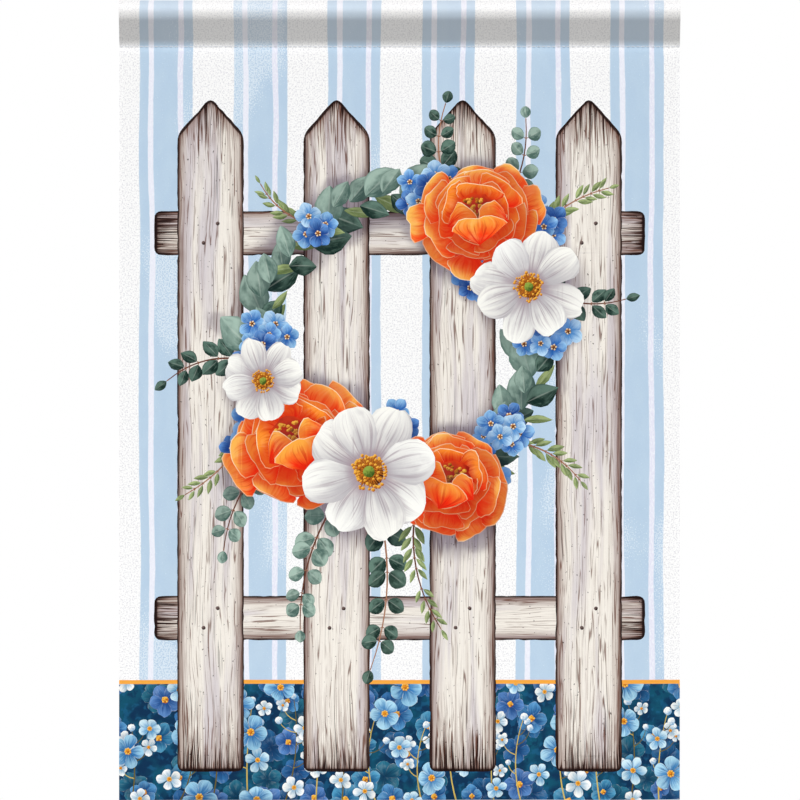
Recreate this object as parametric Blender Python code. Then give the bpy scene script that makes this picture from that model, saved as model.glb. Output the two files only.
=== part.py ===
"""Garden flag: one printed cloth that hangs from the rod sleeve sewn along its top edge.

The frame has +Z up and +X across the flag, and the printed front faces -Y. The origin is the middle of
the sleeve's top edge, where the rod of a flag stand holds the flag up. Sizes are in metres.
"""

import math

import bmesh
import bpy

# The finished flag, seen from the front.
FLAG_WIDTH = 0.3175
FLAG_HEIGHT = 0.453

# The cloth, and the space kept between two pieces of it.
CLOTH_THICKNESS = 0.001
PIECE_GAP = 0.0003

# The sleeve: a loop of cloth, round where the rod bears and pinched flat at the seam.
SLEEVE_RADIUS = 0.0065
SEAM_DROP = 0.0254
SEAM_HEIGHT = 0.0016
TAIL_LENGTH = 0.0075
ARC_STEP = math.radians(9)

# The panel's slack flutes. Each is a soft ridge that starts at the seam and deepens towards the lower edge.
# across: where it meets the lower edge. lean: how far it drifts sideways on the way down.
# spread: its half width. depth: how far it stands out at the lower edge, towards the front if positive.
FLUTES = [
    {"across": -0.157, "lean": -0.010, "spread": 0.030, "depth": 0.0024},
    {"across": -0.092, "lean": -0.006, "spread": 0.033, "depth": -0.0019},
    {"across": -0.022, "lean": 0.004, "spread": 0.037, "depth": 0.0017},
    {"across": 0.054, "lean": 0.003, "spread": 0.034, "depth": -0.0016},
    {"across": 0.112, "lean": 0.008, "spread": 0.026, "depth": 0.0012},
    {"across": 0.158, "lean": 0.012, "spread": 0.024, "depth": -0.0022},
]
FLUTE_GROWTH = 1.3

PANEL_COLUMNS = 36
PANEL_ROWS = 30

CLOTH_COLOUR = (0.80, 0.87, 0.94, 1.0)
CLOTH_ROUGHNESS = 0.78

# The front layer of cloth and the turned-back layer lie this far from the middle plane, on their outer faces.
LAYER_OUTSIDE = CLOTH_THICKNESS + PIECE_GAP / 2
LAYER_INSIDE = PIECE_GAP / 2
SEAM_FOOT = -SEAM_DROP - SEAM_HEIGHT
PANEL_TOP = SEAM_FOOT - PIECE_GAP


def clear_scene():
    """Remove every object of the starting scene."""
    for obj in list(bpy.data.objects):
        bpy.data.objects.remove(obj)


def cloth_material():
    """The woven polyester of the whole flag."""
    material = bpy.data.materials.new("printed_cloth")
    material.use_nodes = True
    shader = material.node_tree.nodes["Principled BSDF"]
    shader.inputs["Base Color"].default_value = CLOTH_COLOUR
    shader.inputs["Roughness"].default_value = CLOTH_ROUGHNESS
    shader.inputs["Metallic"].default_value = 0.0
    return material


def wall_slope():
    """The angle from upright at which the sleeve's outer walls run from the seam to the round top."""
    rise = SEAM_DROP - SLEEVE_RADIUS
    reach = math.hypot(LAYER_OUTSIDE, rise)
    return math.asin(SLEEVE_RADIUS / reach) - math.atan2(LAYER_OUTSIDE, rise)


def round_top(radius):
    """Points (y, z) over the sleeve's round top, from the front wall's tangent point to the back wall's."""
    slope = wall_slope()
    sweep = math.pi + 2 * slope
    steps = math.ceil(sweep / ARC_STEP)
    points = []
    for step in range(steps + 1):
        angle = math.pi + slope - sweep * step / steps
        points.append((radius * math.cos(angle), -SLEEVE_RADIUS + radius * math.sin(angle)))
    return points


def sleeve_outside():
    """The sleeve's outer outline (y, z): the loop, the sewn foot, and the tail turned down behind the panel."""
    tail_end = SEAM_FOOT - TAIL_LENGTH
    return [
        (-LAYER_OUTSIDE, SEAM_FOOT),
        (-LAYER_OUTSIDE, -SEAM_DROP),
        *round_top(SLEEVE_RADIUS),
        (LAYER_OUTSIDE, -SEAM_DROP),
        (LAYER_OUTSIDE, tail_end),
        (LAYER_INSIDE, tail_end),
        (LAYER_INSIDE, SEAM_FOOT),
    ]


def sleeve_tunnel():
    """The outline (y, z) of the tunnel that takes the rod, a wall's thickness inside the loop."""
    radius = SLEEVE_RADIUS - CLOTH_THICKNESS
    pinch = -SLEEVE_RADIUS - radius / math.sin(wall_slope())
    return [(0.0, pinch), *round_top(radius)]


def add_outline(curve, points):
    """Add one closed straight-sided outline to a flat curve."""
    spline = curve.splines.new("POLY")
    spline.points.add(len(points) - 1)
    for target, (across, up) in zip(spline.points, points):
        target.co = (across, up, 0.0, 1.0)
    spline.use_cyclic_u = True


def rod_sleeve(material):
    """The sleeve: its section drawn flat in (y, z) and extruded along the top edge."""
    curve = bpy.data.curves.new("rod_sleeve", "CURVE")
    curve.dimensions = "2D"
    curve.fill_mode = "BOTH"
    curve.extrude = FLAG_WIDTH / 2
    add_outline(curve, sleeve_outside())
    add_outline(curve, sleeve_tunnel())
    curve.materials.append(material)
    sleeve = bpy.data.objects.new("rod_sleeve", curve)
    sleeve.rotation_euler = (math.pi / 2, 0.0, math.pi / 2)
    bpy.context.scene.collection.objects.link(sleeve)


def flute_depth(across, up):
    """How far the hanging panel stands in front of the seam's plane at a point of it."""
    fall = max(0.0, (PANEL_TOP - up) / (PANEL_TOP + FLAG_HEIGHT))
    depth = 0.0
    for flute in FLUTES:
        middle = flute["across"] - flute["lean"] * (1 - fall)
        offset = (across - middle) / flute["spread"]
        depth += flute["depth"] * math.exp(-offset * offset)
    return depth * fall**FLUTE_GROWTH


def flag_panel(material):
    """The panel: a grid of points on its front face, thickened backwards into one closed sheet."""
    mesh = bmesh.new()
    rows = []
    for row in range(PANEL_ROWS + 1):
        up = PANEL_TOP - (PANEL_TOP + FLAG_HEIGHT) * row / PANEL_ROWS
        points = []
        for column in range(PANEL_COLUMNS + 1):
            across = FLAG_WIDTH * (column / PANEL_COLUMNS - 0.5)
            points.append(mesh.verts.new((across, -LAYER_OUTSIDE - flute_depth(across, up), up)))
        rows.append(points)
    for upper, lower in zip(rows, rows[1:]):
        for column in range(PANEL_COLUMNS):
            mesh.faces.new((upper[column], lower[column], lower[column + 1], upper[column + 1]))
    front = list(mesh.faces)
    thick = bmesh.ops.extrude_face_region(mesh, geom=front)
    moved = [item for item in thick["geom"] if isinstance(item, bmesh.types.BMVert)]
    bmesh.ops.translate(mesh, verts=moved, vec=(0.0, CLOTH_THICKNESS, 0.0))
    bmesh.ops.recalc_face_normals(mesh, faces=mesh.faces)
    data = bpy.data.meshes.new("flag_panel")
    mesh.to_mesh(data)
    mesh.free()
    data.shade_smooth()
    data.set_sharp_from_angle(angle=math.radians(40))
    data.materials.append(material)
    panel = bpy.data.objects.new("flag_panel", data)
    bpy.context.scene.collection.objects.link(panel)


def main():
    """Build the flag's two pieces."""
    clear_scene()
    material = cloth_material()
    rod_sleeve(material)
    flag_panel(material)


main()
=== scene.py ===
"""Looks of the garden flag: one printed cloth, hung from the rod sleeve that is sewn along its top edge.

The cloth is a single thin sheet. It runs up the front, over the sleeve, and down behind it to a short tail.
Its print is laid out in millimetres on the cut cloth, in complex numbers: the real part runs across the cloth
and the imaginary part up it. On the hanging panel they are its x and z. Each printed shape is cut into the
faces of the sheet, so that edges stay crisp and the petals, leaves and boards carry their own paint.
Frame: metres, +Z up, +X across the flag, printed front towards -Y.
"""

import logging
import math
from cmath import phase, rect
from collections.abc import Callable, Iterable
from dataclasses import dataclass, field, replace
from enum import Enum
from random import Random

import bpy  # noqa: E402
import numpy as np  # noqa: E402
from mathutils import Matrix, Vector  # noqa: E402
from mathutils.bvhtree import BVHTree  # noqa: E402
from mathutils.geometry import delaunay_2d_cdt  # noqa: E402


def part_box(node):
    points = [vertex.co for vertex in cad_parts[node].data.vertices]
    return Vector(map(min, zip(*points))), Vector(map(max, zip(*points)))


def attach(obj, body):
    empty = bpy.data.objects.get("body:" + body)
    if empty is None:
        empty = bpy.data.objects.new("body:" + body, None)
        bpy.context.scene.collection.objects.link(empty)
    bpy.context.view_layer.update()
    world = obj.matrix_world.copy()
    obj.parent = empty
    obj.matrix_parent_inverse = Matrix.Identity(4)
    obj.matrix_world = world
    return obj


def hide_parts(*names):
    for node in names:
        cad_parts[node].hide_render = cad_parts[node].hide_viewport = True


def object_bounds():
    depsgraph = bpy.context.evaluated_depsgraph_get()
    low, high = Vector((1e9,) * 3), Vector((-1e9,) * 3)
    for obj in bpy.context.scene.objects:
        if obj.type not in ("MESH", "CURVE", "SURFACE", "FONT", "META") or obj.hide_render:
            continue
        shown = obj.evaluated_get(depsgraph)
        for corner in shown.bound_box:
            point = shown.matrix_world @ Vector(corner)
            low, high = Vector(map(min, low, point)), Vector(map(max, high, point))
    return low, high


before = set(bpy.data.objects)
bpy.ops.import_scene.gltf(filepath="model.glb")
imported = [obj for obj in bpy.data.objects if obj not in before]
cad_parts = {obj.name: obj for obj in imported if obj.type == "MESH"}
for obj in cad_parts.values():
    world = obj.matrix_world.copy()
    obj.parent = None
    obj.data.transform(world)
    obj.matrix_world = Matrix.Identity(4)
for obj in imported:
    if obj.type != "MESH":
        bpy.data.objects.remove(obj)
CAD_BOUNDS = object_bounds()
SLEEVE_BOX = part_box("rod_sleeve")

LOG = logging.getLogger("garden_flag")
BODY = "root"
MILLIMETRE = 0.001
TURN = 2 * math.pi
GOLDEN = TURN * 0.382
SUNWARD = math.radians(125)
MERGE = 0.003
HALF_WIDTH = CAD_BOUNDS[1][0] / MILLIMETRE
FOOT = CAD_BOUNDS[0][2] / MILLIMETRE

Point = complex
Ends = tuple[Point, Point]
Steps = tuple[int, int, int]
Rows = tuple[tuple[int, ...], ...]
Span = tuple[float, float]
Triple = tuple[float, float, float]
Colour = Triple
Socket = bpy.types.NodeSocket
Hue = Colour | Socket
Sockets = bpy.types.bpy_prop_collection
Material = bpy.types.Material
Object = bpy.types.Object


def display(red: int, green: int, blue: int) -> Colour:
    """Turn display steps, 0 to 255, into the linear colour that shaders take."""
    shares = (step / 255 for step in (red, green, blue))
    return tuple(share / 12.92 if share <= 0.04045 else ((share + 0.055) / 1.055) ** 2.4 for share in shares)


def in_scene(name: str, data: bpy.types.ID) -> Object:
    """Add an object to the scene.

    Args:
        name: Its name.
        data: Its mesh, camera or light.

    Returns:
        The object.
    """
    made = bpy.data.objects.new(name, data)
    bpy.context.scene.collection.objects.link(made)
    return made


# ---------------------------------------------------------------------------------------------- shader maths


def operation(name: str, swapped: bool = False) -> Callable[..., "Number"]:
    """Make a method that adds one kind of Math node.

    Args:
        name: Blender's name for the operation.
        swapped: Whether its two values change places.

    Returns:
        The method.
    """

    def apply(*values: "Number | float") -> "Number":
        """Add the node to the first value's tree."""
        return values[0].tree.math(name, *(reversed(values) if swapped else values))

    return apply


class Number:
    """A value in a shader tree that takes Python's operators."""

    __add__ = __radd__ = operation("ADD")
    __mul__ = __rmul__ = operation("MULTIPLY")
    __sub__ = operation("SUBTRACT")
    __rsub__ = operation("SUBTRACT", swapped=True)
    __truediv__ = operation("DIVIDE")
    __pow__ = operation("POWER")
    __abs__ = operation("ABSOLUTE")
    fraction = operation("FRACT")
    sine = operation("SINE")
    at_least = operation("MAXIMUM")
    at_most = operation("MINIMUM")

    def __init__(self, tree: "NodeTree", socket: Socket) -> None:
        """Wrap one output socket."""
        self.tree = tree
        self.socket = socket

    def rise(self, low: float, high: float) -> "Number":
        """Smooth step up.

        Args:
            low: The value at which it is still 0.
            high: The value from which it is 1.

        Returns:
            The step.
        """
        limits = {"Value": self, "From Min": low, "From Max": high}
        made = self.tree.node("ShaderNodeMapRange", limits, interpolation_type="SMOOTHSTEP")
        return Number(self.tree, made["Result"])

    def fall(self, low: float, high: float) -> "Number":
        """Smooth step down, from 1 at the low value to 0 at the high one."""
        return 1 - self.rise(low, high)


Value = Number | float


class NodeTree:
    """A node tree with one method that makes any node."""

    def __init__(self, tree: bpy.types.NodeTree) -> None:
        """Take an empty tree."""
        self.tree = tree

    def node(self, kind: str, inputs: dict[object, object], **settings: object) -> Sockets:
        """Make one node.

        Args:
            kind: The node's type name.
            inputs: Values or links, by socket name or number.
            **settings: Properties, which are set first.

        Returns:
            Its output sockets.
        """
        made = self.tree.nodes.new(kind)
        for name, value in settings.items():
            setattr(made, name, value)
        for key, value in inputs.items():
            value = value.socket if isinstance(value, Number) else value
            if isinstance(value, Socket):
                self.tree.links.new(value, made.inputs[key])
            elif isinstance(value, tuple) and made.inputs[key].type == "RGBA":
                made.inputs[key].default_value = (*value, 1.0)
            else:
                made.inputs[key].default_value = value
        return made.outputs

    def math(self, name: str, *operands: Value) -> Number:
        """Math node on one or two values."""
        return Number(self, self.node("ShaderNodeMath", dict(enumerate(operands)), operation=name)[0])

    def parts(self, vector: Socket) -> tuple[Number, ...]:
        """The three values of a vector."""
        return tuple(Number(self, part) for part in self.node("ShaderNodeSeparateXYZ", {0: vector}))

    def vector(self, *values: Value) -> Socket:
        """Vector from three values."""
        return self.node("ShaderNodeCombineXYZ", dict(enumerate(values)))[0]


class PaintTree(NodeTree):
    """A material's node tree."""

    def __init__(self, name: str) -> None:
        """Make an empty material.

        Args:
            name: Its name.
        """
        self.material = bpy.data.materials.new(name)
        self.material.use_nodes = True
        self.material.node_tree.nodes.clear()
        super().__init__(self.material.node_tree)

    def mix(self, share: Value, first: Hue, second: Hue, way: str = "MIX") -> Socket:
        """Mix a share of a second colour into a first, in one of Blender's ways."""
        settings = {"data_type": "RGBA", "blend_type": way, "clamp_factor": True}
        return self.node("ShaderNodeMix", {0: share, 6: first, 7: second}, **settings)[2]

    def coats(self, ground: Hue, *coats: tuple[Value, Hue]) -> Socket:
        """Lay coats of colour over a ground.

        Args:
            ground: The first colour.
            *coats: Share and colour of each coat, from the lowest up.

        Returns:
            The colour socket.
        """
        for share, colour in coats:
            ground = self.mix(share, ground, colour)
        return ground

    def noise(self, x: Value, y: Value, z: Value, detail: float = 2.0) -> Number:
        """Cloudy noise around 0.5 at a place."""
        inputs = {"Vector": self.vector(x, y, z), "Scale": 1.0, "Detail": detail}
        return Number(self, self.node("ShaderNodeTexNoise", inputs)["Fac"])

    def spot(self) -> tuple[Number, Number]:
        """Place across and up the object, in millimetres."""
        x, _, z = self.parts(self.node("ShaderNodeTexCoord", {})["Object"])
        return x * (1 / MILLIMETRE), z * (1 / MILLIMETRE)

    def attribute(self, name: str, output: str) -> Socket:
        """One of the mesh's own attributes, as Fac, Vector or Color."""
        return self.node("ShaderNodeAttribute", {}, attribute_name=name)[output]

    def relief(self, strength: float, height: Number) -> Socket:
        """Normal of a surface that is raised by a height in metres."""
        return self.node("ShaderNodeBump", {"Strength": strength, "Distance": 1.0, "Height": height})[0]

    def close(self, inputs: dict[str, object]) -> Material:
        """End the material in one Principled shader."""
        self.node("ShaderNodeOutputMaterial", {0: self.node("ShaderNodeBsdfPrincipled", inputs)[0]})
        return self.material


# ------------------------------------------------------------------------------------------------- finishes


@dataclass(frozen=True)
class WovenPrint:
    """Matt woven polyester, and what every print on it shares."""

    roughness: float = 0.85
    sheen: float = 0.03
    specular: float = 0.10
    thread_pitch: float = 0.55
    thread_depth: float = 0.00003
    slub_depth: float = 0.00006
    slub_fineness: float = 0.42
    relief: float = 0.6
    dye_fineness: float = 0.9
    dye_steps: Span = (0.35, 0.75)
    dye_share: float = 0.22
    reverse_fade: float = 0.24
    reverse_colour: Colour = display(246, 247, 250)
    dye_shade: Colour = (0.9, 0.9, 0.9)

    def dress(self, name: str) -> Material:
        """Build the material, with the print's colour laid on the weave.

        Args:
            name: Its name.

        Returns:
            The material.
        """
        paint = PaintTree(name)
        colour = self.colour(paint)
        x, z = paint.spot()
        warp, weft = ((place * (TURN / self.thread_pitch)).sine() for place in (x, z))
        slub = paint.noise(x * self.slub_fineness, 0.0, z * self.slub_fineness, 3.0)
        dye = paint.noise(x * self.dye_fineness, 3.0, z * self.dye_fineness).rise(*self.dye_steps)
        darker = paint.mix(1.0, colour, self.dye_shade, "MULTIPLY")
        toned = paint.mix(dye * self.dye_share, colour, darker)
        behind = Number(paint, paint.attribute("reverse", "Fac"))
        height = warp * weft * self.thread_depth + (slub - 0.5) * self.slub_depth
        return paint.close(
            {
                "Base Color": paint.mix(behind * self.reverse_fade, toned, self.reverse_colour),
                "Roughness": self.roughness,
                "Sheen Weight": self.sheen,
                "Specular IOR Level": self.specular,
                "Normal": paint.relief(self.relief, height),
            }
        )

    def colour(self, paint: PaintTree) -> Socket:
        """The print's colour, which each print gives."""
        raise NotImplementedError


@dataclass(frozen=True)
class StripePaint(WovenPrint):
    """Ticking stripes in worn pale blue on speckled white, down to the orange line.

    Over the sleeve, where the cloth runs round the rod, the print is greyed and darkened as painted shade;
    the darkening is left off the sleeve's rounded crest and partly laid back at its very top.
    """

    pitch: float = 53.3
    shift: float = 1.1
    core: float = 6.8
    lane: float = 9.85
    edge: float = 15.0
    blur: float = 0.22
    line_top: float = -385.0
    line_foot: float = -387.3
    line_blur: float = 0.1
    # Painted shade over the sleeve: where it starts, where its crest is lifted out of it, and how much comes
    # back at the very top.
    sleeve_foot: Span = (-26.6, -21.8)
    crest_foot: Span = (-12.4, -8.6)
    crest_top: Span = (-6.0, -0.5)
    crest_top_shade: float = 0.74
    sleeve_shade_greying: float = 0.24
    sleeve_shade_grey: Colour = display(234, 229, 226)
    shade: Colour = (0.695, 0.695, 0.695)
    blue: Colour = display(191, 213, 233)
    deep_blue: Colour = display(186, 209, 231)
    worn_blue: Colour = display(232, 242, 251)
    white: Colour = display(255, 255, 255)
    speck: Colour = display(206, 206, 212)
    grit: Colour = display(186, 184, 200)
    pale: Colour = display(240, 243, 253)
    lilac: Colour = display(228, 228, 246)
    orange: Colour = display(247, 169, 68)

    def colour(self, paint: PaintTree) -> Socket:
        """Colour of the stripes and the line, with painted shade greying and darkening the sleeve.

        Args:
            paint: The material's tree.

        Returns:
            The colour socket.
        """
        x, z = paint.spot()
        wander = (paint.noise(x * 0.028, 0.0, z * 0.010) - 0.5) * 3.2
        brush = (paint.noise(x * 0.3, 5.0, z * 0.13, 4.0) - 0.5) * 0.8
        swell = (paint.noise(x * 0.022, 9.0, z * 0.008) - 0.5) * 3.0
        turned = ((x - self.shift + wander + brush) / self.pitch).fraction() - 0.5
        away = abs(turned) * self.pitch + swell
        edges = (self.core, self.lane, self.edge)
        core, lane, inside = (away.fall(edge - self.blur, edge + self.blur) for edge in edges)
        grain = paint.noise(x * 1.15, 2.0, z * 1.15).rise(0.46, 0.66)
        grit = paint.noise(x * 1.5, 11.0, z * 1.5, 1.0).rise(0.64, 0.73)
        ground = paint.coats(self.white, (grain * 0.58, self.speck), (grit * 0.8, self.grit))
        chalk = paint.noise(x * 1.3, 23.0, z * 0.45).rise(0.36, 0.54)
        chalky = paint.mix(chalk * (turned.rise(-0.02, 0.02) * 0.45 + 0.4), self.pale, self.lilac)
        wash = paint.noise(x * 0.11, 4.0, z * 0.05, 3.0).rise(0.3, 0.7)
        patch = paint.noise(x * 0.017, 12.0, z * 0.0085, 1.0).rise(0.53, 0.62)
        worn = (paint.noise(x * 1.5, 7.0, z * 1.1, 3.0) + patch * 0.20).rise(0.66, 0.71)
        blue = paint.coats(self.blue, (wash, self.deep_blue), (worn * 0.7, self.worn_blue))
        height = z + (paint.noise(x * 0.4, 1.0, z * 0.1) - 0.5) * 0.25
        over = height.rise(self.line_foot - self.line_blur, self.line_foot + self.line_blur)
        line = over * height.fall(self.line_top - self.line_blur, self.line_top + self.line_blur)
        # Painted shade covers the sleeve from its foot up.
        painted_sleeve_shade = z.rise(*self.sleeve_foot)
        printed = paint.coats(
            ground,
            (inside * 0.85, chalky),
            (core + (1 - lane) * inside, blue),
            (line, self.orange),
            # Painted shade: the sleeve greyed.
            (painted_sleeve_shade * self.sleeve_shade_greying, self.sleeve_shade_grey),
        )
        # Painted shade darkens the sleeve below its crest, and partly again at its very top.
        crest = z.rise(*self.crest_foot) * (1 - z.rise(*self.crest_top) * self.crest_top_shade)
        return paint.mix(painted_sleeve_shade * (1 - crest), printed, paint.mix(1.0, printed, self.shade, "MULTIPLY"))


@dataclass(frozen=True)
class MeadowPaint(WovenPrint):
    """Deep blue ground of the flowered band, in soft dabs of navy and teal."""

    navy: Colour = display(8, 48, 82)
    teal: Colour = display(14, 80, 106)
    blue: Colour = display(28, 96, 138)

    def colour(self, paint: PaintTree) -> Socket:
        """Colour of the ground.

        Args:
            paint: The material's tree.

        Returns:
            The colour socket.
        """
        x, z = paint.spot()
        broad = paint.noise(x * 0.06, 0.0, z * 0.06, 3.0).rise(0.42, 0.62)
        dabs = paint.noise(x * 0.21, 5.0, z * 0.21, 3.0)
        lit, dim = dabs.rise(0.52, 0.62) * 0.5, dabs.fall(0.36, 0.44) * 0.7
        return paint.coats(self.navy, (broad, self.teal), (lit, self.blue), (dim, self.navy))


@dataclass(frozen=True)
class BoardPaint(WovenPrint):
    """Whitewashed, weathered boards with fine cracks and dark, worn edges and ends."""

    cream: Colour = display(245, 239, 230)
    lilac: Colour = display(206, 198, 206)
    mauve: Colour = display(156, 130, 122)
    brown: Colour = display(104, 62, 46)
    dark: Colour = display(30, 13, 12)
    shadow: Colour = display(120, 108, 132)

    def colour(self, paint: PaintTree) -> Socket:
        """Colour of the boards, by the place along and across each one and the distance to its edge and end.

        Args:
            paint: The material's tree.

        Returns:
            The colour socket.
        """
        along, across, seed = paint.parts(paint.attribute("place", "Vector"))
        edge, end, shade = paint.parts(paint.attribute("style", "Vector"))
        line = across + (paint.noise(across * 0.05, along * 0.011, seed) - 0.5) * 8

        def grain(fineness: float, length: float, turn: int, detail: float = 2.0) -> Number:
            """Noise drawn out along the grain."""
            return paint.noise(line * fineness, along * length, seed * turn, detail)

        def contour(cloud: Number, lines: float, low: float, high: float) -> Number:
            """Thin lines where cloudy noise passes even steps."""
            return abs((cloud * lines).fraction() - 0.5).fall(low, high)

        tone = grain(0.13, 0.008, 3)
        streak = grain(0.9, 0.012, 5, 3.0)
        hair = grain(2.2, 0.04, 7)
        broken = grain(0.5, 0.05, 4)
        split = grain(1.3, 0.02, 8, 1.0)
        pits = paint.noise(across * 0.9, along * 0.5, seed * 6, 1.0)
        crack = contour(grain(0.24, 0.006, 9), 7.0, 0.03, 0.12) * broken.rise(0.44, 0.54)
        vein = contour(grain(0.5, 0.005, 11, 1.0), 6.0, 0.02, 0.10) * broken.fall(0.42, 0.52)
        worn = edge.fall(1.0, 8.9).at_least(end.fall(8.0, 64.0))
        sway, fray = streak - 0.5, hair - 0.5
        wood = paint.coats(
            self.cream,
            (tone.rise(0.44, 0.68) * 0.72, self.lilac),
            (streak.rise(0.5, 0.66) * (worn * 0.4 + 0.16), self.mauve),
            (hair.rise(0.54, 0.66) * (worn * 0.4 + 0.1), self.brown),
            (crack * (worn * 0.2 + 0.76), self.brown),
            (vein * (worn * 0.45 + 0.5), self.brown),
            (split.rise(0.68, 0.72) * (worn * 0.5 + 0.45), self.dark),
            ((edge + sway * 9).fall(0.5, 8.0) * 0.5, self.mauve),
            ((edge + sway * 7 + fray * 4).fall(0.2, 3.8) * 0.78, self.brown),
            ((end + sway * 100 + fray * 120).fall(0.0, 16.0) * 0.85, self.brown),
            ((end + fray * 80 + sway * 50).fall(0.0, 6.0) * 0.95, self.dark),
            (end.fall(0.6, 2.6) * 0.8, self.dark),
            (pits.rise(0.735, 0.76) * 0.8, self.dark),
            ((edge + fray * 1.8).fall(0.4, 1.5) * 0.94, self.dark),
        )
        return paint.mix(shade * 0.85, wood, self.shadow, "MULTIPLY")


class Stroke:
    """What the paint of a petal, leaf or dab reads: its place, its style, its form and its two colours."""

    def __init__(self, paint: PaintTree) -> None:
        """Read the attributes, and work out the place across from -1 on one edge to 1 on the other.

        Args:
            paint: The material's tree.
        """
        self.up, self.side, self.seed = paint.parts(paint.attribute("place", "Vector"))
        self.vein, self.rim, self.shade = paint.parts(paint.attribute("style", "Vector"))
        self.deep, self.light = (paint.attribute(name, "Color") for name in ("deep", "light"))
        crown, fullness, lit = paint.parts(paint.attribute("form", "Vector"))
        width = ((self.up.at_least(0.004).at_most(0.996) ** crown) * math.pi).sine() ** fullness
        self.across = self.side / width.at_least(0.12)
        self.sunny = self.across * lit


@dataclass(frozen=True)
class PetalPaint(WovenPrint):
    """Brushed petals: deep at the base, light towards the tip, with fine veins and a drawn rim."""

    glow: Colour = display(255, 250, 234)
    rim_glow: Colour = display(255, 246, 238)
    dimming: Colour = display(214, 196, 206)
    shadow: Colour = display(220, 198, 208)

    def colour(self, paint: PaintTree) -> Socket:
        """Colour of the petals.

        Args:
            paint: The material's tree.

        Returns:
            The colour socket.
        """
        mark = Stroke(paint)
        bright = paint.mix(0.16, mark.light, self.glow)
        dark = paint.mix(1.0, mark.deep, self.dimming, "MULTIPLY")
        streak = paint.noise(mark.across * 3.0 + mark.seed * 17, mark.up * 0.8, mark.seed * 9, 3.0)
        fine = paint.noise(mark.across * 11.0 + mark.seed * 5, mark.up * 1.1, mark.seed * 3)
        wash = paint.noise(mark.across * 1.1 + mark.seed * 11, mark.up * 2.2, mark.seed, 3.0)
        wash = wash + mark.sunny * 0.12
        uneven = paint.noise(mark.across * 0.8 + mark.seed * 3, mark.up * 3.0, mark.seed * 2, 1.0)
        flow = mark.up + (streak - 0.5) * 1.1 * mark.vein + mark.sunny * 0.16
        edge = abs(mark.across).rise(0.86, 0.97).at_least(mark.up.rise(0.955, 0.99)) * mark.up.rise(0.1, 0.4)
        edge = edge * uneven.rise(0.36, 0.56)
        return paint.coats(
            mark.deep,
            (flow.rise(0.10, 1.0), mark.light),
            (wash.rise(0.52, 0.72) * 0.36, bright),
            (wash.fall(0.28, 0.46) * 0.4, mark.deep),
            (mark.up.fall(0.0, 0.34) * 0.6, dark),
            (fine.rise(0.53, 0.64) * mark.up.fall(0.35, 1.05) * mark.vein * 0.85, dark),
            (fine.fall(0.34, 0.44) * mark.up.rise(0.3, 0.8) * mark.vein * 0.4, bright),
            (mark.sunny.fall(-1.0, -0.2) * 0.30, mark.deep),
            (edge * mark.rim.at_least(0.0), paint.mix(0.6, mark.light, self.rim_glow)),
            (edge * (0 - mark.rim).at_least(0.0), mark.deep),
            (mark.shade * 0.88, paint.mix(1.0, mark.deep, self.shadow, "MULTIPLY")),
        )


@dataclass(frozen=True)
class LeafPaint(WovenPrint):
    """Painted leaves: a pale midrib, side veins, and one half in shade."""

    glow: Colour = display(236, 243, 232)
    shadow: Colour = display(18, 24, 38)

    def colour(self, paint: PaintTree) -> Socket:
        """Colour of the leaves.

        Args:
            paint: The material's tree.

        Returns:
            The colour socket.
        """
        mark = Stroke(paint)
        wash = paint.noise(mark.across * 1.3 + mark.seed * 13, mark.up * 2.4, mark.seed, 3.0)
        fine = paint.noise(mark.across * 5.0 + mark.seed * 7, mark.up * 4.0, mark.seed * 3, 3.0)
        rib = (mark.up * 6.5 - abs(mark.across) * 1.2 + mark.seed).fraction() - 0.5
        bright = paint.mix(0.5, mark.light, self.glow)
        return paint.coats(
            mark.deep,
            ((wash + mark.up * 0.2 + mark.sunny * 0.22).rise(0.36, 0.78), mark.light),
            (mark.sunny.fall(-0.08, 0.05) * 0.45, mark.deep),
            (fine.rise(0.52, 0.66) * 0.35, mark.light),
            (abs(rib).fall(0.0, 0.11) * mark.vein * 0.16, bright),
            (abs(mark.across).fall(0.02, 0.10) * mark.up.fall(0.55, 1.0) * 0.28, bright),
            (abs(mark.across).rise(0.78, 0.98) * 0.55, mark.deep),
            (mark.shade * 0.8, paint.mix(0.5, mark.deep, self.shadow)),
        )


@dataclass(frozen=True)
class DabPaint(WovenPrint):
    """Small round or drawn dabs: stems, buds, stamens and flower hearts, lit from one side."""

    shadow: Colour = display(40, 30, 50)

    def colour(self, paint: PaintTree) -> Socket:
        """Colour of the dabs.

        Args:
            paint: The material's tree.

        Returns:
            The colour socket.
        """
        mark = Stroke(paint)
        wash = paint.noise(mark.up * 2.5 + mark.seed * 13, mark.side * 1.8, mark.seed)
        return paint.coats(
            mark.deep,
            ((mark.side * 0.45 + wash).rise(0.12, 0.85), mark.light),
            (mark.shade * 0.6, paint.mix(0.5, mark.deep, self.shadow)),
        )


@dataclass(frozen=True)
class ThreadFinish:
    """White polyester sewing thread with a fine twist, and painted shade in the twist's grooves."""

    colour: Colour = display(244, 245, 248)
    shade: Colour = display(214, 218, 226)
    roughness: float = 0.6
    twist_turns: float = 9.0
    twist_depth: float = 0.00003
    relief: float = 0.5

    def dress(self, name: str) -> Material:
        """Build the thread's material.

        Args:
            name: The material's name.

        Returns:
            The material.
        """
        paint = PaintTree(name)
        x, z = paint.spot()
        twist = (x * self.twist_turns + z * self.twist_turns).sine()
        # Painted shade: the thread is darker where the twist's relief sinks.
        colour = paint.mix(twist.rise(-0.6, 0.9), self.shade, self.colour)
        relief = paint.relief(self.relief, twist * self.twist_depth)
        return paint.close({"Base Color": colour, "Roughness": self.roughness, "Normal": relief})


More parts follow.
